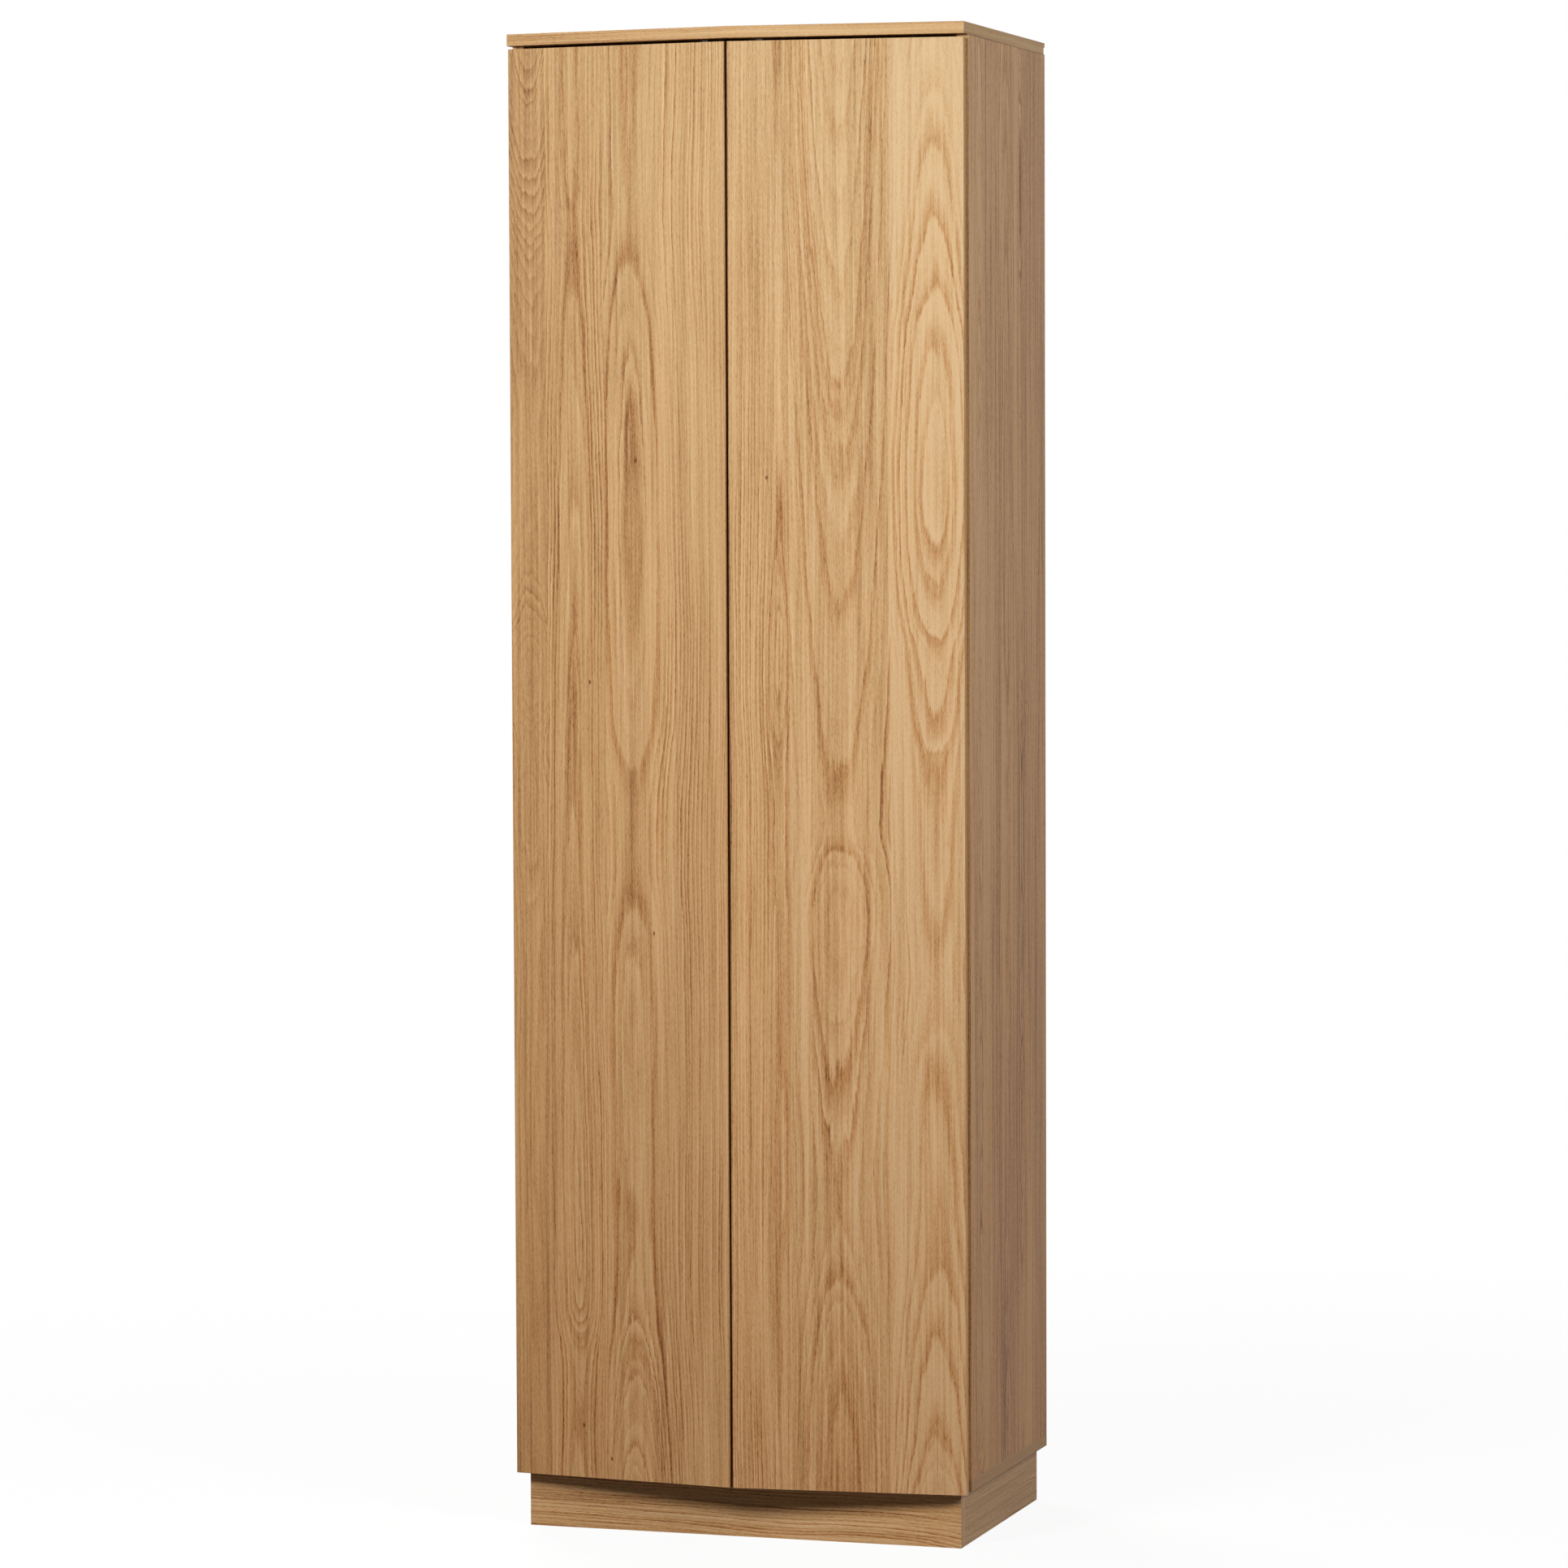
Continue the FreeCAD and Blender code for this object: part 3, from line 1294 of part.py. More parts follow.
def make_latches():
    """Push latches under the lid and on the floor, each on two screws."""
    radius = size("latch_screw_radius")
    length = size("latch_screw_length")
    head_radius = size("latch_screw_head_radius")
    head = size("latch_screw_head")
    housings = []
    screws = []
    for inward, end, place in zip((UP, -UP), ("top", "low"), latch_places()):
        housing = latch_housing(end, inward == UP)
        housings.append(copies(f"latch_set_{end}", housing, [place], lean))
        master = screw(f"latch_screw_{end}", radius, length, head_radius, head, inward)
        seat = place[2] + size("latch_height") / 2 * inward.z
        places = [(x, y, seat) for x, y in latch_screw_spots()]
        screws.append(copies(f"latch_screws_{end}", master, places))
    handed("latch_housings", group("latch_housing_set", housings))
    handed("latch_screws", group("latch_screw_set", screws))


def main():
    make_lid()
    make_floor()
    make_side_panels()
    make_fixed_shelf()
    make_loose_shelves()
    make_shelf_pins()
    make_back()
    make_back_screws()
    make_cams()
    make_bolts()
    make_dowels()
    make_plinth()
    make_corner_blocks()
    make_doors()
    make_hinge_cups()
    make_hinge_pins()
    make_cup_screws()
    make_hinge_arms()
    make_hinge_plates()
    make_plate_screws()
    make_clamp_screws()
    make_strikes()
    make_plungers()
    make_latches()
    doc.recompute()
    for thing in doc.Objects:
        if "Invalid" in thing.State or "Error" in thing.State:
            raise RuntimeError(f"{thing.Name} is {thing.State}")
    for label, thing in nodes.items():
        if thing.Shape.isNull() or not thing.Shape.isValid():
            raise RuntimeError(f"{label} has no sound shape")
    os.makedirs("parts", exist_ok=True)
    for label, thing in nodes.items():
        thing.Shape.exportStep(f"parts/{label}.step")
        bounds = thing.Shape.BoundBox
        print(label, len(thing.Shape.Solids), round(thing.Shape.Volume), bounds)


main()
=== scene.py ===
"""Finishes, floor, lamps and camera for a tall oak-veneered cabinet with two flat doors.

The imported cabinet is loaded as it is, in metres: X runs across the front, Y towards the back
and Z up from the floor. Each operator dresses one kind of piece.
"""
from collections import namedtuple

import bpy
from bpy.props import FloatProperty, FloatVectorProperty, PointerProperty
from mathutils import Euler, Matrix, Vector


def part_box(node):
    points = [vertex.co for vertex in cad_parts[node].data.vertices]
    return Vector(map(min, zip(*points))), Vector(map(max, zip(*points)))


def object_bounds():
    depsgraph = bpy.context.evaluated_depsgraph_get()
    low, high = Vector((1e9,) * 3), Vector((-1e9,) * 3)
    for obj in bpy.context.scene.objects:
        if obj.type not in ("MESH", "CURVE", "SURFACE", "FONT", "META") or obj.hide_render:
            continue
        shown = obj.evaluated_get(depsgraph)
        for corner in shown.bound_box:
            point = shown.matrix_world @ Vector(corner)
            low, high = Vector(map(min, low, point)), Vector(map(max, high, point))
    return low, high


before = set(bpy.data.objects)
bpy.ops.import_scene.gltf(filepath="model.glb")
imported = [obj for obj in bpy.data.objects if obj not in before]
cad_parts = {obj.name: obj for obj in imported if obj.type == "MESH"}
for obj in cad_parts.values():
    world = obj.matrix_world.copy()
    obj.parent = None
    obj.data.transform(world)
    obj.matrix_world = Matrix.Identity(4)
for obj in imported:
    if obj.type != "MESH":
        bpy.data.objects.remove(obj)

bl_info = {
    "name": "Tall Cabinet Finishes",
    "version": (1, 0, 0),
    "blender": (4, 5, 0),
    "location": "View3D > Sidebar > Cabinet",
    "description": "Oak veneer, fittings, floor and lamps for a tall two-door cabinet",
    "category": "Material",
}

CAD_LOW, CAD_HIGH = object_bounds()
BOARD_THICKNESS = 0.015
SIDES = ("left", "right")


# Settings


class TimberSettings(bpy.types.PropertyGroup):
    """Colours and sizes of the oak."""

    light: FloatVectorProperty(
        name="Light Wood", description="Smooth late wood between the growth lines",
        subtype="COLOR", size=3, min=0.0, max=1.0, default=(0.700, 0.498, 0.275))
    middle: FloatVectorProperty(
        name="Middle Wood", description="The colour seen from far away",
        subtype="COLOR", size=3, min=0.0, max=1.0, default=(0.560, 0.352, 0.158))
    dark: FloatVectorProperty(
        name="Growth Lines", description="Early wood, the dark lines of the figure",
        subtype="COLOR", size=3, min=0.0, max=1.0, default=(0.355, 0.190, 0.076))
    deepest: FloatVectorProperty(
        name="Pores and Knots", description="Bottom of the open pores, and pin knots",
        subtype="COLOR", size=3, min=0.0, max=1.0, default=(0.150, 0.066, 0.024))
    roughness: FloatProperty(
        name="Lacquer Roughness", description="Roughness of the matt lacquer",
        subtype="FACTOR", min=0.0, max=1.0, default=0.46)
    pore_width: FloatProperty(
        name="Pore Width", description="Width of one open pore",
        unit="LENGTH", min=0.0001, max=0.01, default=0.0007)
    pore_length: FloatProperty(
        name="Pore Length", description="Length of one open pore along the grain",
        unit="LENGTH", min=0.001, max=0.1, default=0.007)


class FittingSettings(bpy.types.PropertyGroup):
    """Colours of the metal and plastic fittings."""

    nickel: FloatVectorProperty(
        name="Nickel", description="Plated hinges and shelf pins",
        subtype="COLOR", size=3, min=0.0, max=1.0, default=(0.700, 0.680, 0.640))
    zinc: FloatVectorProperty(
        name="Zinc", description="Plated screws, bolts and cam locks",
        subtype="COLOR", size=3, min=0.0, max=1.0, default=(0.520, 0.530, 0.550))
    black: FloatVectorProperty(
        name="Black Zinc", description="Screws and strike discs of the push latches",
        subtype="COLOR", size=3, min=0.0, max=1.0, default=(0.030, 0.030, 0.032))
    plastic: FloatVectorProperty(
        name="Latch Plastic", description="Moulded housings and plungers",
        subtype="COLOR", size=3, min=0.0, max=1.0, default=(0.160, 0.160, 0.156))


class StageSettings(bpy.types.PropertyGroup):
    """Lamps, room light and camera."""

    key_power: FloatProperty(
        name="Key Lamp", description="Large lamp in front, up on the left",
        unit="POWER", min=0.0, max=1000.0, default=73.5)
    fill_power: FloatProperty(
        name="Fill Lamp", description="Large lamp in front of the cabinet, on the right",
        unit="POWER", min=0.0, max=1000.0, default=77.0)
    back_power: FloatProperty(
        name="Back Lamp", description="Lamp behind and above the cabinet, on the left",
        unit="POWER", min=0.0, max=1000.0, default=130.0)
    sky: FloatProperty(
        name="Room Light", description="Even light from all round",
        subtype="FACTOR", min=0.0, max=1.0, default=0.06)
    focal_length: FloatProperty(
        name="Focal Length", description="Focal length on a 36 mm wide sensor",
        unit="CAMERA", min=10.0, max=500.0, default=130.52)


# Shader maths


class Value:
    """A socket's value, with the arithmetic that the finishes are written in."""

    def __init__(self, shader, socket):
        self.shader = shader
        self.socket = socket

    def _maths(self, operation, *terms):
        return self.shader.add("ShaderNodeMath", {"operation": operation}, dict(enumerate(terms)))

    def __add__(self, other):
        return self._maths("ADD", self, other)

    def __radd__(self, other):
        return self._maths("ADD", other, self)

    def __sub__(self, other):
        return self._maths("SUBTRACT", self, other)

    def __rsub__(self, other):
        return self._maths("SUBTRACT", other, self)

    def __mul__(self, other):
        return self._maths("MULTIPLY", self, other)

    def __rmul__(self, other):
        return self._maths("MULTIPLY", other, self)

    def __truediv__(self, other):
        return self._maths("DIVIDE", self, other)

    def __pow__(self, other):
        return self._maths("POWER", self, other)

    def __gt__(self, other):
        return self._maths("GREATER_THAN", self, other)

    def __abs__(self):
        return self._maths("ABSOLUTE", self)

    def root(self):
        return self._maths("SQRT", self)

    def fraction(self):
        return self._maths("FRACT", self)

    def larger(self, other):
        return self._maths("MAXIMUM", self, other)


class Shader:
    """A new material, or a tree that is given, and the one way in which nodes are added."""

    # The places of a Mix node's two ends and its result, for numbers and for colours.
    NUMBER_ENDS, NUMBER_RESULT = (2, 3), 0
    COLOUR_ENDS, COLOUR_RESULT = (6, 7), 2

    def __init__(self, name, tree=None):
        if tree is None:
            self.material = bpy.data.materials.new(name)
            self.material.use_nodes = True
            tree = self.material.node_tree
        self.tree = tree
        self.tree.nodes.clear()

    def add(self, kind, settings=None, sockets=None, out=0):
        """One node of that kind: its settings first, then its sockets' values or links."""
        node = self.tree.nodes.new(kind)
        for name, value in (settings or {}).items():
            if name == "stops":
                self._set_stops(node.color_ramp, value)
            elif name == "points":
                self._set_points(node.mapping, value)
            else:
                setattr(node, name, value)
        for key, value in (sockets or {}).items():
            if isinstance(value, Value):
                self.tree.links.new(value.socket, node.inputs[key])
            else:
                node.inputs[key].default_value = value
        if isinstance(out, tuple):
            return [Value(self, node.outputs[one]) for one in out]
        return Value(self, node.outputs[out]) if node.outputs else None

    @staticmethod
    def _set_stops(ramp, stops):
        while len(ramp.elements) < len(stops):
            ramp.elements.new(1.0)
        for element, (place, colour) in zip(ramp.elements, stops):
            element.position = place
            element.color = rgba(colour)

    @staticmethod
    def _set_points(mapping, points):
        curve = mapping.curves[0]
        while len(curve.points) < len(points):
            curve.points.new(0.5, 0.5)
        for point, place in zip(curve.points, points):
            point.location = place
            point.handle_type = "AUTO"
        mapping.update()

    def mix(self, factor, first, second):
        low, high = self.NUMBER_ENDS
        return self.add("ShaderNodeMix", {"data_type": "FLOAT"},
                        {0: factor, low: first, high: second}, out=self.NUMBER_RESULT)

    def mix_colours(self, factor, first, second, blend="MIX"):
        low, high = self.COLOUR_ENDS
        return self.add("ShaderNodeMix", {"data_type": "RGBA", "blend_type": blend},
                        {0: factor, low: rgba(first), high: rgba(second)},
                        out=self.COLOUR_RESULT)

    def mix_shaders(self, factor, first, second):
        return self.add("ShaderNodeMixShader", {}, {0: factor, 1: first, 2: second})

    def vector(self, x, y, z):
        return self.add("ShaderNodeCombineXYZ", {}, {"X": x, "Y": y, "Z": z})

    def stretched(self, axes, cells):
        """The place as a vector for a noise that has so many cells in a metre of each axis."""
        return self.vector(*(axis * count for axis, count in zip(axes, cells)))

    def noise(self, vector, detail, roughness, scale=1.0):
        return self.add("ShaderNodeTexNoise", {"noise_dimensions": "3D"},
                        {"Vector": vector, "Scale": scale, "Detail": detail,
                         "Roughness": roughness})

    def ramp(self, value, stops):
        return self.add("ShaderNodeValToRGB", {"stops": stops}, {"Fac": value})

    def smooth(self, value, low, high):
        """0 below low, 1 above high and a smooth rise between them."""
        return self.add("ShaderNodeMapRange", {"interpolation_type": "SMOOTHSTEP"},
                        dict(enumerate((value, low, high, 0.0, 1.0))))

    def place(self):
        """The surface's place in the cabinet's frame, in metres at rest, and its normal."""
        coordinates = self.add("ShaderNodeTexCoord", {}, {}, out=("Object", "Normal"))
        return [self.add("ShaderNodeSeparateXYZ", {}, {"Vector": one}, out=("X", "Y", "Z"))
                for one in coordinates]

    def background(self):
        """1 for a ray that shows the floor or the room, and 0 for one that lights a piece."""
        seen, glossy, clear = self.add("ShaderNodeLightPath", {}, {}, out=(
            "Is Camera Ray", "Is Glossy Ray", "Is Transmission Ray"))
        return seen.larger(glossy.larger(clear))

    def bump(self, height, strength, distance):
        return self.add("ShaderNodeBump", {}, {"Strength": strength, "Distance": distance,
                                               "Height": height})

    def finish(self, surface):
        self.add("ShaderNodeOutputMaterial", {}, {"Surface": surface})
        return self.material

    def finish_solid(self, colour, roughness, normal, fixed):
        """The finished surface: what varies is linked, what is the same all over is set."""
        return self.finish(self.add("ShaderNodeBsdfPrincipled", {}, {
            **fixed, "Base Color": colour, "Roughness": roughness, "Normal": normal}))


def rgba(colour):
    return colour if isinstance(colour, Value) else (*colour, 1.0)


def toned(colour, factor):
    """The colour, lighter or darker by a factor."""
    return [part * factor for part in colour]


# Oak

# One leaf of veneer: where it starts across the board, where the log's heart line lies, how far
# apart the growth rings are, how much lighter the leaf is, how deep under the heart the cut
# runs, as pairs of height along the board and depth, the radii of the boldest rings, and how
# strongly the rings show.
Leaf = namedtuple("Leaf", "start centre ring tone cut bold clear", defaults=((), 1.0))

# One noise of the figure: its cells in a metre across and along the grain, its detail and
# roughness, and a shift that parts it from the others.
Grain = namedtuple("Grain", "across along detail rough shift", defaults=(1.0, 0.5, 0.0))

WANDER = Grain(9.0, 2.2, 2.0)                 # the log's slow bends
RIPPLE = Grain(85.0, 10.0, 2.0)               # waves in the rings
TEETH = Grain(700.0, 30.0)                    # ragged edges of the rings
YEARS = Grain(190.0, 1.3, shift=2.0)          # strong and weak years
PATCHES = Grain(14.0, 2.6, shift=4.0)         # places where the rings fade
BREAKS = Grain(240.0, 12.0, 2.0, 0.6)         # gaps in the boldest rings
FIBRES = Grain(230.0, 1.8, 3.0, 0.72)
HAIRS = Grain(430.0, 7.0, shift=1.0)
STREAKS = Grain(28.0, 0.9, 3.0, 0.6)
DUST = Grain(1300.0, 240.0)
MEAN = 0.5                                    # the mean of a noise

# A thin line where two boards meet: the axis it lies on and the place there, its half width and
# how much it changes the shade. Most are dark joints; the doors' gap line is painted shade and
# the floor panel's light line a painted highlight.
Seam = namedtuple("Seam", "axis place width change")

# One year's growth: the place in the year, and how much of it is early and late wood there.
YEAR = (
    (0.00, 0.65, 0.0), (0.08, 1.0, 0.0), (0.24, 0.55, 0.0), (0.52, 0.15, 0.0),
    (0.72, 0.0, 0.25), (0.90, 0.0, 1.0), (0.96, 0.2, 0.5), (1.00, 0.65, 0.0))

WHITE = (1.0, 1.0, 1.0)
FOOT_SHADE_TINT = (1.0, 0.87, 0.82)                 # painted shade: darker and warmer towards the foot of an upright board
EDGE_RING = 0.0016                            # how far apart the rings are on a board's edge
SWAY = 0.016                                  # how far the rings bend aside along the board


class Oak:
    """The figure of oak on one kind of board, and the lacquer over it."""

    FACING = 0.6             # a surface faces an axis where the normal's share is over this
    DEEPEST = 0.1            # the deepest cut of any leaf
    FIRST_SEED, SEED_STEP = 0.37, 3.21
    EDGE_SEED = 5.3          # the board's edges show another part of the log
    EDGE_SHIFT = 0.16
    SLANT = 2.3              # pores and hairs lean, so that no rows line up across the board

    # How far the noises move the cut and the rings, in metres, rings or years.
    WANDER_DEPTH = 0.005
    RIPPLE_REACH = 0.0034
    TEETH_RINGS = 0.42
    UNEVEN_CELLS, UNEVEN_YEARS = 95.0, 2.2
    FIBRE_DRIFT = 0.01

    # How strongly the rings show: the least and the rise, and the noise that it rises over.
    YEARS_LEAST, YEARS_RISE, YEARS_RANGE = 0.30, 0.90, (0.38, 0.72)
    PATCHES_LEAST, PATCHES_RISE, PATCHES_RANGE = 0.30, 0.95, (0.34, 0.62)
    BREAKS_RANGE = (0.24, 0.56)
    BOLD_EARLY = 0.88

    # A bold ring is dark in its core, sharp inside and fades outwards, in metres.
    BOLD_RISE, BOLD_CORE, BOLD_TAIL = 0.0005, 0.0011, 0.0032
    CORE_END = 0.65

    # What each layer adds to the shade or takes from it.
    BASE = 0.72
    LATE_LIFT, EARLY_DROP = 0.15, 0.22
    PORE_DROP, EARLY_PORE_DROP = 0.14, 0.26
    FIBRE_SPREAD, HAIR_SPREAD, STREAK_SPREAD, DUST_SPREAD = 0.86, 0.36, 0.50, 0.44
    FOOT_CONTRAST, CONTRAST_FALL = 1.28, 0.32
    KNOT_DROP, KNOT_SIZE, KNOT_STRETCH = 0.55, 0.0022, 0.6
    SOFT_EDGE = 0.4          # the share of a knot or a seam that is at its full depth
    PORE_RANGE = (0.50, 0.72)

    # Where each colour stands on the shade, and the stains over them.
    SHADES = ((0.0, "deepest"), (0.27, "dark"), (0.60, "middle"), (0.95, "light"))
    WARM_RANGE, WARM_STAIN = (0.35, 0.75), (1.0, 0.955, 0.90)
    EARLY_SHARE, EARLY_STAIN = 0.80, (0.86, 0.69, 0.55)

    # The lacquer lies rougher and lower in the pores and the early wood.
    PORE_ROUGHER, EARLY_ROUGHER = 0.12, 0.06
    PORE_DEPTH, EARLY_DEPTH = 0.7, 0.3
    BUMP, BUMP_HEIGHT = 0.25, 0.0002
    LACQUER = {"IOR": 1.45, "Specular IOR Level": 0.15}

    def __init__(self, shader, face, grain, low, high, seed):
        self.shader = shader
        place, normal = shader.place()
        self.places = dict(zip("XYZ", place))
        slopes = {axis: abs(part) for axis, part in zip("XYZ", normal)}
        third = next(one for one in "XYZ" if one not in (face, grain))
        self.on_face = slopes[face] > self.FACING
        on_end = slopes[grain] > self.FACING
        self.across = shader.mix(self.on_face, self.places[face], self.places[third])
        self.along = shader.mix(on_end, self.places[grain], self.places[third])
        self.low, self.high = low, high
        self.share = (self.along - low) / (high - low)
        self.upright = grain == "Z"
        self.seed = seed

    def by_leaf(self, masks, values):
        """A number that changes from leaf to leaf."""
        result = values[0]
        for mask, before, after in zip(masks, values, values[1:]):
            if after != before:
                result = result + mask * (after - before)
        return result

    def pick(self, masks, lines):
        """The line of the leaf that a place lies in."""
        result = lines[0]
        for mask, line in zip(masks, lines[1:]):
            result = self.shader.mix(mask, result, line)
        return result

    def grain(self, kind, across, along):
        """One noise of the figure."""
        number = self.number + kind.shift if kind.shift else self.number
        place = self.shader.vector(across * kind.across, along * kind.along, number)
        return self.shader.noise(place, kind.detail, kind.rough)

    def cut(self, leaf):
        """How deep the leaf's cut runs under the heart, along the board."""
        points = [((along - self.low) / (self.high - self.low), depth / self.DEEPEST)
                  for along, depth in leaf.cut]
        return self.shader.add("ShaderNodeFloatCurve", {"points": points},
                               {"Value": self.share})

    def bold_rings(self, reach, radii):
        """A mask of the rings of a few hard years."""
        if not radii:
            return 0.0
        stops = [(0.0, 0.0)]
        for radius in sorted(radii):
            stops += [(radius - self.BOLD_RISE, 0.0), (radius, 1.0),
                      (radius + self.BOLD_CORE, self.CORE_END), (radius + self.BOLD_TAIL, 0.0)]
        stops = [(place / self.DEEPEST, (value,) * 3) for place, value in stops]
        return self.shader.add("ShaderNodeRGBToBW", {}, {
            "Color": self.shader.ramp(reach / self.DEEPEST, stops)})

    def figure(self, leaves, edge_ring, lines, contrast, sway):
        """Draws the leaves, and sets the masks that the finish is mixed from."""
        shader, across, along = self.shader, self.across, self.along
        masks = [across > leaf.start for leaf in leaves[1:]]
        edge = 1.0 - self.on_face
        self.number = self.by_leaf(masks, [
            self.seed + self.FIRST_SEED + self.SEED_STEP * n for n in range(len(leaves))])
        self.number = self.number + edge * self.EDGE_SEED
        centre = self.by_leaf(masks, [leaf.centre for leaf in leaves]) - edge * self.EDGE_SHIFT
        ring = shader.mix(edge, self.by_leaf(masks, [leaf.ring for leaf in leaves]), edge_ring)

        wander = self.grain(WANDER, across, along)
        slant = along + across * self.SLANT
        depth = self.pick(masks, [self.cut(leaf) for leaf in leaves])
        depth = depth * self.DEEPEST + (wander - MEAN) * self.WANDER_DEPTH
        aside = across - centre + (wander - MEAN) * sway
        reach = (aside * aside + depth * depth).root()
        ripple = self.grain(RIPPLE, across, along)
        teeth = self.grain(TEETH, across, slant)
        reach = (reach + (ripple - MEAN) * self.RIPPLE_REACH
                 + (teeth - MEAN) * ring * self.TEETH_RINGS)

        early, late = self.years(reach, ring)
        strength = self.strength(reach) * self.by_leaf(masks, [leaf.clear for leaf in leaves])
        bold = self.pick(masks, [self.bold_rings(reach, leaf.bold) for leaf in leaves])
        breaks = self.grain(BREAKS, across, along)
        bold = bold * self.on_face * shader.smooth(breaks, *self.BREAKS_RANGE)
        self.early = early * strength + bold * self.BOLD_EARLY
        late = late * strength

        self.pores = self.open_pores(slant)
        self.streaks = self.grain(STREAKS, across, along)
        tone = self.by_leaf(masks, [leaf.tone for leaf in leaves])
        rows = (late * self.LATE_LIFT - self.early * self.EARLY_DROP
                - self.pores * (self.PORE_DROP + self.EARLY_PORE_DROP * self.early))
        threads = self.threads(slant, wander)
        self.shade = self.BASE + tone + rows * lines + threads * contrast

    def years(self, reach, ring):
        """Masks of the early and the late wood, at that reach from the heart."""
        cells = self.shader.vector(reach * self.UNEVEN_CELLS, self.number, MEAN)
        uneven = self.shader.noise(cells, detail=1.0, roughness=0.5)
        rings = reach / ring + (uneven - MEAN) * self.UNEVEN_YEARS
        stops = [(place, (early, late, 0.0)) for place, early, late in YEAR]
        bands = self.shader.ramp(rings.fraction(), stops)
        return self.shader.add("ShaderNodeSeparateColor", {}, {"Color": bands},
                               out=("Red", "Green"))

    def strength(self, reach):
        """How strongly the rings show, from year to year and from place to place."""
        years = self.shader.smooth(self.grain(YEARS, reach, self.along), *self.YEARS_RANGE)
        patches = self.shader.smooth(self.grain(PATCHES, self.across, self.along),
                                     *self.PATCHES_RANGE)
        return ((self.YEARS_LEAST + self.YEARS_RISE * years)
                * (self.PATCHES_LEAST + self.PATCHES_RISE * patches))

    def open_pores(self, slant):
        """A mask of the short dashes of open pores."""
        timber = bpy.context.scene.cabinet_timber
        place = self.shader.vector(self.across / timber.pore_width,
                                   slant / timber.pore_length, self.number)
        dashes = self.shader.noise(place, detail=1.0, roughness=0.6)
        return self.shader.smooth(dashes, *self.PORE_RANGE)

    def threads(self, slant, wander):
        """The fine lines and dust between the rings, stronger towards an upright board's foot."""
        fibres = self.grain(FIBRES, self.across + wander * self.FIBRE_DRIFT, self.along)
        hairs = self.grain(HAIRS, self.across, slant)
        dust = self.grain(DUST, self.across, slant)
        threads = ((fibres - MEAN) * self.FIBRE_SPREAD + (hairs - MEAN) * self.HAIR_SPREAD
                   + (self.streaks - MEAN) * self.STREAK_SPREAD
                   + (dust - MEAN) * self.DUST_SPREAD)
        if self.upright:
            threads = threads * (self.FOOT_CONTRAST - self.share * self.CONTRAST_FALL)
        return threads

    def knots(self, places):
        """Small dark pin knots, each where it is given across and along."""
        full = self.KNOT_SIZE * self.SOFT_EDGE
        for across, along in places:
            far = ((self.across - across) ** 2.0
                   + ((self.along - along) * self.KNOT_STRETCH) ** 2.0).root()
            clear = self.shader.smooth(far, full, self.KNOT_SIZE)
            self.shade = self.shade - (1.0 - clear) * self.KNOT_DROP

    def seams(self, seams):
        """Thin lines where two boards meet: dark joints, painted shade in the doors' gap and a
        painted highlight on the floor panel's arris.
        """
        for seam in seams:
            far = abs(self.places[seam.axis] - seam.place)
            near = 1.0 - self.shader.smooth(far, seam.width * self.SOFT_EDGE, seam.width)
            self.shade = self.shade + near * seam.change

    def finish(self, tint, edge_tint, foot_shade_tint):
        """The lacquered surface."""
        shader = self.shader
        timber = bpy.context.scene.cabinet_timber
        colour = shader.ramp(self.shade, [
            (place, getattr(timber, name)) for place, name in self.SHADES])
        warm = shader.smooth(self.streaks, *self.WARM_RANGE)
        colour = shader.mix_colours(warm, colour, self.WARM_STAIN, "MULTIPLY")
        colour = shader.mix_colours(self.early * self.EARLY_SHARE, colour, self.EARLY_STAIN,
                                    "MULTIPLY")
        # Painted shade: an upright board turns darker and warmer towards its foot.
        if self.upright:
            colour = shader.mix_colours(1.0 - self.share, colour, foot_shade_tint, "MULTIPLY")
        # On the side panels the edge tint is lighter, partly painted light on their shaded front
        # edges.
        paint = shader.mix_colours(self.on_face, edge_tint, tint)
        colour = shader.mix_colours(1.0, colour, paint, "MULTIPLY")
        roughness = (timber.roughness + self.pores * self.PORE_ROUGHER
                     + self.early * self.EARLY_ROUGHER)
        height = 1.0 - self.pores * self.PORE_DEPTH - self.early * self.EARLY_DEPTH
        bump = shader.bump(height, self.BUMP, self.BUMP_HEIGHT)
        return shader.finish_solid(colour, roughness, bump, self.LACQUER)


def dress(nodes, material):
    """Puts the finish in every material slot of the CAD nodes."""
    for node in nodes:
        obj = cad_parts[node]
        if not obj.material_slots:
            obj.data.materials.append(material)
        for slot in obj.material_slots:
            slot.material = material


def oak_boards(nodes, name, face, grain, leaves, seed, tint=WHITE, edge_tint=None,
               foot_shade_tint=FOOT_SHADE_TINT, edge_ring=EDGE_RING, lines=1.0, contrast=1.0, sway=SWAY,
               knots=(), seams=()):
    """Dresses boards that share one finish. face and grain are axes of the cabinet."""
    axis = "XYZ".index(grain)
    lows, highs = zip(*(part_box(node) for node in nodes))
    low, high = min(corner[axis] for corner in lows), max(corner[axis] for corner in highs)
    oak = Oak(Shader(name), face, grain, low, high, seed)
    oak.figure(leaves, edge_ring, lines, contrast, sway)
    oak.knots(knots)
    oak.seams(seams)
    dress(nodes, oak.finish(tint, edge_tint or tint, foot_shade_tint))


# Other finishes

# Cells of noise in a metre: of X, Y and Z where they are drawn out upwards, or of all three.
BEECH_LINES, BEECH_FLECKS = (90.0, 90.0, 12.0), (900.0, 900.0, 120.0)
DRAWING_MARKS, DULL_SPOTS = (900.0, 900.0, 60.0), 160.0
PLASTIC_GRAIN, PLASTIC_CLOUD = 2600.0, 90.0

# The colours of beech from its dark lines to its pale ground, and what the lines and the
# drawing marks count for beside the flecks and spots.
BEECH = ((0.30, (0.400, 0.240, 0.125)), (0.50, (0.560, 0.375, 0.215)),
         (0.70, (0.670, 0.480, 0.300)))
LINE_SHARE = 0.75
MARK_SHARE = 0.5


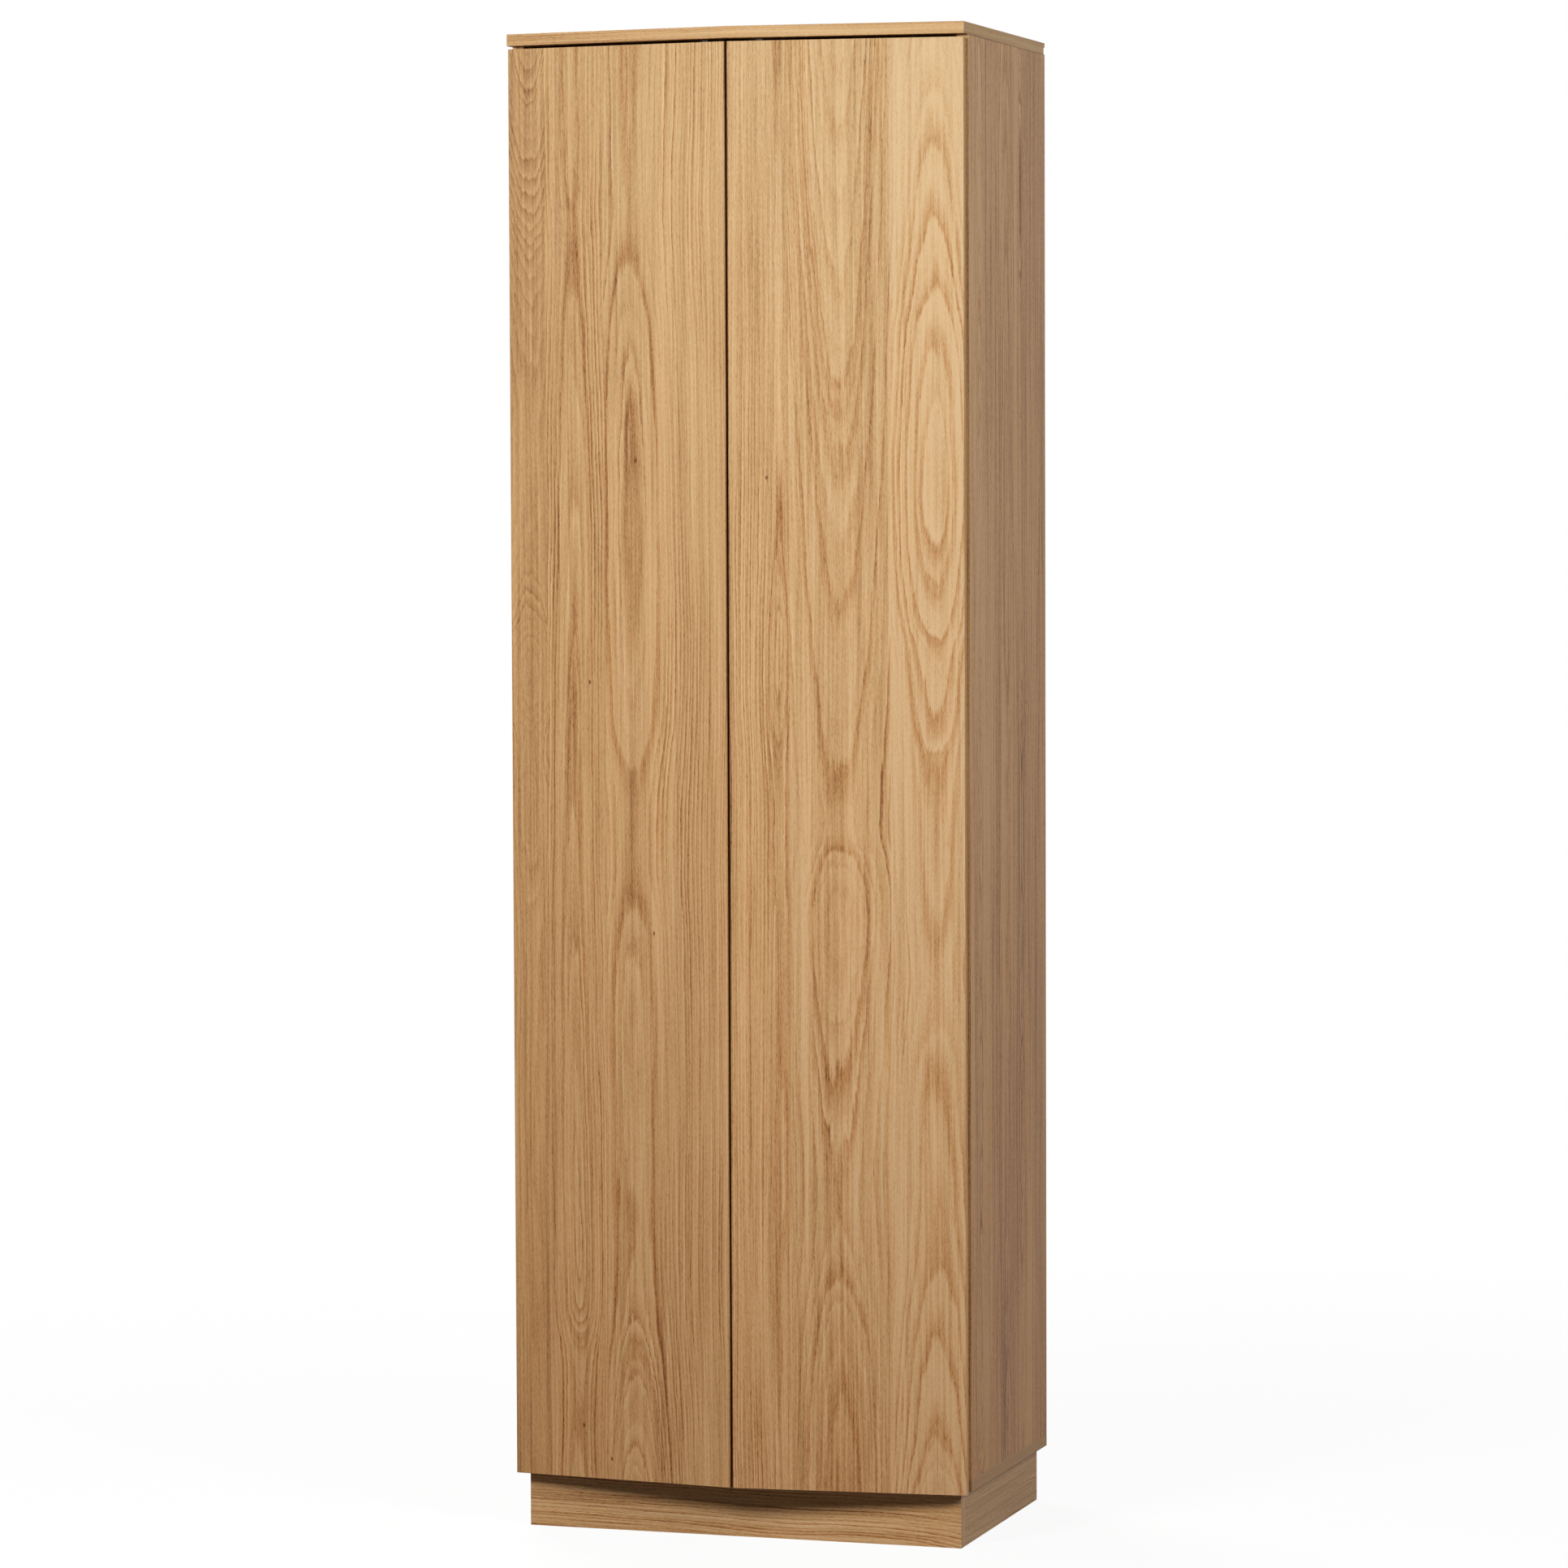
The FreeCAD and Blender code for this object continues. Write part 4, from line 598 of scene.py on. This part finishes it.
def raw_beech():
    """Plain unfinished beech."""
    shader = Shader("Raw Beech")
    place, _ = shader.place()
    lines = shader.noise(shader.stretched(place, BEECH_LINES), detail=3.0, roughness=0.6)
    flecks = shader.noise(shader.stretched(place, BEECH_FLECKS), detail=1.0, roughness=0.5)
    colour = shader.ramp(lines * LINE_SHARE + flecks * (1.0 - LINE_SHARE), BEECH)
    bump = shader.bump(flecks, strength=0.2, distance=0.0002)
    return shader.finish_solid(colour, 0.62 + flecks * 0.15, bump, {"IOR": 1.45})


def plated(name, colour, roughness=0.42):
    """Plated steel with faint drawing marks and dull spots."""
    shader = Shader(name)
    place, _ = shader.place()
    marks = shader.noise(shader.stretched(place, DRAWING_MARKS), detail=2.0, roughness=0.6)
    spots = shader.noise(shader.vector(*place), detail=2.0, roughness=0.5, scale=DULL_SPOTS)
    tone = shader.ramp(marks * MARK_SHARE + spots * (1.0 - MARK_SHARE), [
        (0.30, toned(colour, 0.90)), (0.55, colour), (0.75, toned(colour, 1.06))])
    roughness = roughness + (spots - MEAN) * 0.10 + (marks - MEAN) * 0.08
    bump = shader.bump(marks, strength=0.06, distance=0.0001)
    return shader.finish_solid(tone, roughness, bump, {"Metallic": 1.0})


def moulded(name, colour, roughness=0.48):
    """Moulded plastic with a fine grain and a faint cloud."""
    shader = Shader(name)
    place, _ = shader.place()
    grain = shader.noise(shader.vector(*place), detail=2.0, roughness=0.6, scale=PLASTIC_GRAIN)
    cloud = shader.noise(shader.vector(*place), detail=2.0, roughness=0.5, scale=PLASTIC_CLOUD)
    tone = shader.ramp(cloud, [(0.35, toned(colour, 0.90)), (0.65, toned(colour, 1.10))])
    roughness = roughness + (grain - MEAN) * 0.2
    bump = shader.bump(grain, strength=0.25, distance=0.0001)
    return shader.finish_solid(tone, roughness, bump, {"IOR": 1.49})


def both_sides(*kinds):
    """The nodes of those kinds, on the left and on the right."""
    return [f"{kind}_{side}" for side in SIDES for kind in kinds]


# Operators


class CABINET_OT_stage(bpy.types.Operator):
    """Make the floor, the lamps, the room light and the camera"""

    bl_idname = "cabinet.stage"
    bl_label = "Stage"

    FLOOR_REACH = 9.0
    FLOOR_BLEND = (0.7, 3.0)         # the floor turns plain white between these distances
    FLOOR_GLOW = 0.92                # how white it is near the cabinet
    FLOOR_PALE = (0.95, 0.95, 0.95)
    FLOOR_LIGHTING = (0.12, 0.117, 0.113)

    # Each lamp's name, place, side and setting, and what they all look at.
    LAMPS = (
        ("key_lamp", (-0.76, -2.69, 2.20), 0.8, "key_power"),
        ("fill_lamp", (3.30, -2.00, 2.45), 1.1, "fill_power"),
        ("back_lamp", (-2.20, 2.60, 3.70), 1.8, "back_power"),
    )
    LAMP_AIM = (0.0, -0.1, 0.95)

    CAMERA_PLACE = (2.23242, -6.94247, 1.33258)
    CAMERA_TURN = (1.517958, 0.003936, 0.309900)
    SENSOR_WIDTH = 36.0
    NEAREST, FARTHEST = 0.1, 60.0

    def execute(self, context):
        settings = context.scene.cabinet_stage
        context.scene.view_settings.view_transform = "Standard"
        self.floor(context.scene)
        self.room(context.scene, settings.sky)
        for name, place, side, power in self.LAMPS:
            self.lamp(context.scene, name, Vector(place), side, getattr(settings, power))
        self.camera(context.scene, settings.focal_length)
        return {"FINISHED"}

    def floor(self, scene):
        reach = self.FLOOR_REACH
        mesh = bpy.data.meshes.new("floor")
        mesh.from_pydata([(-reach, -reach, 0.0), (reach, -reach, 0.0), (reach, reach, 0.0),
                          (-reach, reach, 0.0)], [], [(0, 1, 2, 3)])
        floor = bpy.data.objects.new("floor", mesh)
        scene.collection.objects.link(floor)
        shader = Shader("Pale Floor")
        (x, y, _), _ = shader.place()
        far = shader.smooth((x * x + y * y).root(), *self.FLOOR_BLEND)
        white = shader.add("ShaderNodeEmission", {}, {"Color": rgba(WHITE), "Strength": 1.0})
        pale = shader.add("ShaderNodeBsdfDiffuse", {}, {"Color": rgba(self.FLOOR_PALE)})
        dim = shader.add("ShaderNodeBsdfDiffuse", {}, {"Color": rgba(self.FLOOR_LIGHTING)})
        shown = shader.mix_shaders(self.FLOOR_GLOW + far * (1.0 - self.FLOOR_GLOW), pale, white)
        mesh.materials.append(shader.finish(
            shader.mix_shaders(shader.background(), dim, shown)))

    def room(self, scene, sky):
        world = bpy.data.worlds.new("Room")
        world.use_nodes = True
        scene.world = world
        shader = Shader("Room", world.node_tree)
        strength = shader.mix(shader.background(), sky, 1.0)
        light = shader.add("ShaderNodeBackground", {}, {"Color": rgba(WHITE),
                                                        "Strength": strength})
        shader.add("ShaderNodeOutputWorld", {}, {"Surface": light})

    def lamp(self, scene, name, place, side, power):
        data = bpy.data.lights.new(name, "AREA")
        data.shape = "SQUARE"
        data.size = side
        data.energy = power
        lamp = bpy.data.objects.new(name, data)
        lamp.location = place
        aim = Vector(self.LAMP_AIM) - place
        lamp.rotation_euler = aim.to_track_quat("-Z", "Y").to_euler()
        scene.collection.objects.link(lamp)

    def camera(self, scene, focal_length):
        data = bpy.data.cameras.new("camera")
        data.lens = focal_length
        data.sensor_width = self.SENSOR_WIDTH
        data.clip_start, data.clip_end = self.NEAREST, self.FARTHEST
        camera = bpy.data.objects.new("camera", data)
        camera.location = self.CAMERA_PLACE
        camera.rotation_euler = Euler(self.CAMERA_TURN, "XYZ")
        scene.collection.objects.link(camera)
        scene.camera = camera


class CABINET_OT_doors(bpy.types.Operator):
    """Veneer the two doors with their own leaves of oak"""

    bl_idname = "cabinet.doors"
    bl_label = "Doors"

    LEFT = (
        Leaf(-0.300, -0.273, 0.0025, -0.23, (
            (0.07, 0.050), (0.40, 0.053), (0.75, 0.055), (0.93, 0.050), (1.00, 0.053),
            (1.08, 0.045), (1.17, 0.055), (1.27, 0.064), (1.38, 0.066), (1.52, 0.063),
            (1.60, 0.058), (1.68, 0.049), (1.78, 0.036), (1.881, 0.022)), (), 0.45),
        Leaf(-0.249, -0.212, 0.0036, -0.09, (
            (0.07, 0.022), (0.20, 0.024), (0.30, 0.010), (0.39, 0.006), (0.60, 0.010),
            (0.90, 0.016), (1.20, 0.022), (1.50, 0.029), (1.66, 0.033), (1.72, 0.031),
            (1.881, 0.030)), (0.0190, 0.0315)),
        Leaf(-0.168, -0.132, 0.0041, -0.04, (
            (0.07, 0.026), (0.15, 0.036), (0.227, 0.044), (0.30, 0.050), (0.40, 0.0515),
            (0.50, 0.050), (0.66, 0.049), (0.74, 0.051), (0.797, 0.055), (0.85, 0.058),
            (0.92, 0.058), (0.975, 0.055), (1.04, 0.0495), (1.15, 0.0465), (1.30, 0.0455),
            (1.45, 0.047), (1.54, 0.050), (1.616, 0.055), (1.66, 0.057), (1.76, 0.0565),
            (1.881, 0.0555)), (0.0440, 0.0553)),
    )
    RIGHT = (
        Leaf(0.000, 0.066, 0.0040, -0.05, (
            (0.07, 0.014), (0.50, 0.010), (0.95, 0.014), (1.10, 0.005), (1.25, 0.012),
            (1.60, 0.016), (1.881, 0.012)), (0.0112,)),
        Leaf(0.078, 0.142, 0.0044, 0.02, (
            (0.07, 0.066), (0.215, 0.070), (0.29, 0.074), (0.37, 0.080), (0.446, 0.082),
            (0.640, 0.076), (0.698, 0.0735), (0.79, 0.0705), (0.86, 0.076), (0.905, 0.0805),
            (0.95, 0.079), (1.184, 0.069), (1.375, 0.060), (1.461, 0.055), (1.617, 0.047),
            (1.824, 0.036), (1.881, 0.033)), (0.0550, 0.0600, 0.0690, 0.0790), 0.85),
        Leaf(0.206, 0.262, 0.0042, 0.17, (
            (0.07, 0.035), (0.10, 0.040), (0.143, 0.0445), (0.217, 0.049), (0.298, 0.054),
            (0.364, 0.0585), (0.595, 0.0635), (0.667, 0.068), (0.72, 0.070), (0.783, 0.068),
            (0.978, 0.0635), (1.034, 0.0585), (1.123, 0.054), (1.16, 0.049), (1.207, 0.0445),
            (1.27, 0.040), (1.337, 0.038), (1.41, 0.040), (1.517, 0.046), (1.571, 0.052),
            (1.659, 0.058), (1.78, 0.065), (1.881, 0.072)),
            (0.0445, 0.0520, 0.0580, 0.0635), 0.75),
    )
    LEFT_KNOTS = ((-0.190, 1.083), (-0.125, 1.362), (-0.103, 0.767), (-0.204, 0.137),
                  (-0.165, 0.096))
    RIGHT_KNOTS = ((0.050, 1.340),)
    EDGE_TINT = (0.95, 0.93, 0.92)
    # Painted shade: the doors' meeting edges, and a thin strip of their faces beside the gap, are
    # darkened where shade falls into the gap between them.
    PAINTED_GAP_SHADE = (Seam("X", 0.0, width=0.0035, change=-0.55),)

    def execute(self, context):
        oak_boards(["door_panel_left"], "Oak Front Left", "Y", "Z", self.LEFT, seed=1.0,
                   tint=(0.89, 0.89, 0.885), edge_tint=self.EDGE_TINT,
                   foot_shade_tint=(1.04, 0.91, 0.86), lines=0.88, contrast=0.90,
                   knots=self.LEFT_KNOTS, seams=self.PAINTED_GAP_SHADE)
        oak_boards(["door_panel_right"], "Oak Front Right", "Y", "Z", self.RIGHT, seed=21.0,
                   tint=(0.89, 0.89, 0.89), edge_tint=self.EDGE_TINT,
                   foot_shade_tint=(1.06, 0.925, 0.87), lines=0.90, contrast=1.10,
                   knots=self.RIGHT_KNOTS, seams=self.PAINTED_GAP_SHADE)
        return {"FINISHED"}


class CABINET_OT_carcass(bpy.types.Operator):
    """Veneer the sides, the lid, the floor panel and the back"""

    bl_idname = "cabinet.carcass"
    bl_label = "Carcass"

    SIDE = (
        Leaf(-0.160, -0.105, 0.0032, 0.06, (
            (0.087, 0.020), (0.30, 0.010), (0.55, 0.022), (0.80, 0.028), (1.00, 0.020),
            (1.20, 0.010), (1.40, 0.016), (1.60, 0.024), (1.885, 0.030))),
        Leaf(-0.037, 0.015, 0.0030, -0.10, (
            (0.087, 0.050), (0.60, 0.060), (1.20, 0.050), (1.885, 0.060))),
        Leaf(0.052, 0.086, 0.0034, -0.02, (
            (0.087, 0.028), (0.35, 0.020), (0.50, 0.012), (0.70, 0.020), (0.95, 0.026),
            (1.10, 0.014), (1.30, 0.008), (1.50, 0.018), (1.70, 0.010), (1.885, 0.020))),
    )
    LID = (
        Leaf(-0.210, -0.120, 0.0036, 0.02, (
            (-0.30, 0.010), (-0.10, 0.022), (0.10, 0.014), (0.30, 0.026))),
        Leaf(0.000, 0.090, 0.0034, 0.04, (
            (-0.30, 0.024), (-0.05, 0.012), (0.12, 0.018), (0.30, 0.030))),
    )
    BACK = (
        Leaf(-0.300, -0.180, 0.0040, 0.00, (
            (0.079, 0.010), (0.60, 0.030), (1.20, 0.012), (1.894, 0.028))),
        Leaf(-0.050, 0.120, 0.0040, 0.02, (
            (0.079, 0.024), (0.70, 0.010), (1.30, 0.028), (1.894, 0.012))),
    )

    def execute(self, context):
        lid_joint = CAD_HIGH.z - BOARD_THICKNESS
        floor_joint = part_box("bottom_panel")[1].z
        # The sides' edges are tinted lighter than their faces: partly lighter edge banding,
        # partly painted light on the front edges, which stand shaded in the gap beside the doors.
        oak_boards(both_sides("side_panel"), "Oak Side", "X", "Z", self.SIDE,
                   seed=41.0, tint=(0.96, 0.88, 0.87), edge_tint=(1.25, 1.17, 1.08),
                   foot_shade_tint=(0.93, 0.775, 0.57), lines=1.5, contrast=1.85,
                   seams=(Seam("Z", lid_joint, width=0.0012, change=-0.35),
                          Seam("Z", floor_joint, width=0.0010, change=-0.25)))
        oak_boards(["top_panel"], "Oak Lid", "Z", "X", self.LID, seed=61.0,
                   tint=(0.835, 0.785, 0.725), contrast=1.3,
                   seams=(Seam("Z", lid_joint, width=0.0008, change=-0.4),))
        # The floor panel's light line along its top arris, change 0.60, is a painted highlight
        # where the arris catches the light.
        oak_boards(["bottom_panel"], "Oak Floor Panel", "Z", "X", self.LID, seed=71.0,
                   edge_tint=(0.70, 0.56, 0.42), contrast=1.3,
                   seams=(Seam("Z", floor_joint, width=0.0022, change=0.60),))
        oak_boards(["back_panel"], "Oak Back", "Y", "Z", self.BACK, seed=81.0)
        return {"FINISHED"}


class CABINET_OT_shelves(bpy.types.Operator):
    """Veneer the fixed shelf and the loose shelves"""

    bl_idname = "cabinet.shelves"
    bl_label = "Shelves"

    NODES = ("fixed_shelf", "adjustable_shelf_1", "adjustable_shelf_2", "adjustable_shelf_3",
             "adjustable_shelf_4")
    FIRST_SEED, SEED_STEP = 101.0, 7.0

    def execute(self, context):
        for number, node in enumerate(self.NODES):
            oak_boards([node], "Oak " + node.replace("_", " ").title(), "Z", "X",
                       CABINET_OT_carcass.LID, seed=self.FIRST_SEED + self.SEED_STEP * number)
        return {"FINISHED"}


class CABINET_OT_plinth(bpy.types.Operator):
    """Veneer the plinth with its grain along the floor, and dress its blocks and the dowels"""

    bl_idname = "cabinet.plinth"
    bl_label = "Plinth"

    FRONT = (
        Leaf(-0.010, -0.045, 0.0042, -0.05, (
            (-0.29, 0.010), (-0.10, 0.024), (0.05, 0.036), (0.15, 0.032), (0.29, 0.050))),
    )
    SIDE = (
        Leaf(-0.010, -0.040, 0.0036, -0.08, (
            (-0.16, 0.010), (-0.05, 0.030), (0.08, 0.012), (0.20, 0.026))),
    )
    EDGE_RING = 0.0022
    SWAY = 0.009

    def execute(self, context):
        oak_boards(["plinth_front", "plinth_back"], "Oak Plinth Front", "Y", "X", self.FRONT,
                   seed=141.0, tint=(1.05, 0.97, 0.95), edge_ring=self.EDGE_RING, contrast=1.2,
                   sway=self.SWAY)
        oak_boards(both_sides("plinth_side"), "Oak Plinth Side", "X", "Y", self.SIDE,
                   seed=151.0, tint=(0.97, 0.87, 0.79), edge_ring=self.EDGE_RING, contrast=1.3,
                   sway=self.SWAY)
        dress(["plinth_corner_blocks", "wooden_dowels"], raw_beech())
        return {"FINISHED"}


class CABINET_OT_hinges(bpy.types.Operator):
    """Plate the hinges and the shelf pins with nickel"""

    bl_idname = "cabinet.hinges"
    bl_label = "Hinges and Pins"

    def execute(self, context):
        nickel = plated("Nickel Plate", context.scene.cabinet_fittings.nickel)
        dress(both_sides("hinge_cups", "hinge_arms", "hinge_plates"), nickel)
        dress(["shelf_pins"], nickel)
        return {"FINISHED"}


class CABINET_OT_fixings(bpy.types.Operator):
    """Plate the screws, cam locks, bolts, hinge pins and strike discs with zinc"""

    bl_idname = "cabinet.fixings"
    bl_label = "Screws and Locks"

    def execute(self, context):
        zinc = plated("Zinc Plate", context.scene.cabinet_fittings.zinc)
        black = plated("Black Zinc Plate", context.scene.cabinet_fittings.black)
        dress(["cam_locks", "cam_bolts", "back_panel_screws", "plinth_block_screws"], zinc)
        dress(both_sides("hinge_pins", "cup_screws", "plate_screws", "clamp_screws"), zinc)
        dress(both_sides("latch_screws", "strike_discs"), black)
        return {"FINISHED"}


class CABINET_OT_latches(bpy.types.Operator):
    """Mould the push latches in dark grey plastic"""

    bl_idname = "cabinet.latches"
    bl_label = "Push Latches"

    def execute(self, context):
        plastic = moulded("Latch Plastic", context.scene.cabinet_fittings.plastic)
        dress(both_sides("latch_housings", "latch_plungers"), plastic)
        return {"FINISHED"}


# Panel


class CABINET_PT_panel(bpy.types.Panel):
    """The cabinet's settings and its steps"""

    bl_idname = "CABINET_PT_panel"
    bl_label = "Tall Cabinet"
    bl_space_type = "VIEW_3D"
    bl_region_type = "UI"
    bl_category = "Cabinet"

    def draw(self, context):
        for group in GROUPS:
            settings = getattr(context.scene, group)
            column = self.layout.column(align=True)
            for name in settings.__annotations__:
                column.prop(settings, name)
        for operator in OPERATORS:
            self.layout.operator(operator.bl_idname)


OPERATORS = (
    CABINET_OT_stage,
    CABINET_OT_doors,
    CABINET_OT_carcass,
    CABINET_OT_shelves,
    CABINET_OT_plinth,
    CABINET_OT_hinges,
    CABINET_OT_fixings,
    CABINET_OT_latches,
)
GROUPS = {
    "cabinet_timber": TimberSettings,
    "cabinet_fittings": FittingSettings,
    "cabinet_stage": StageSettings,
}


def register():
    for one in (*GROUPS.values(), *OPERATORS, CABINET_PT_panel):
        bpy.utils.register_class(one)
    for name, group in GROUPS.items():
        setattr(bpy.types.Scene, name, PointerProperty(type=group))


def unregister():
    for name in GROUPS:
        delattr(bpy.types.Scene, name)
    for one in reversed((*GROUPS.values(), *OPERATORS, CABINET_PT_panel)):
        bpy.utils.unregister_class(one)


def main():
    register()
    for operator in OPERATORS:
        group, name = operator.bl_idname.split(".")
        getattr(getattr(bpy.ops, group), name)()


if __name__ == "__main__":
    main()
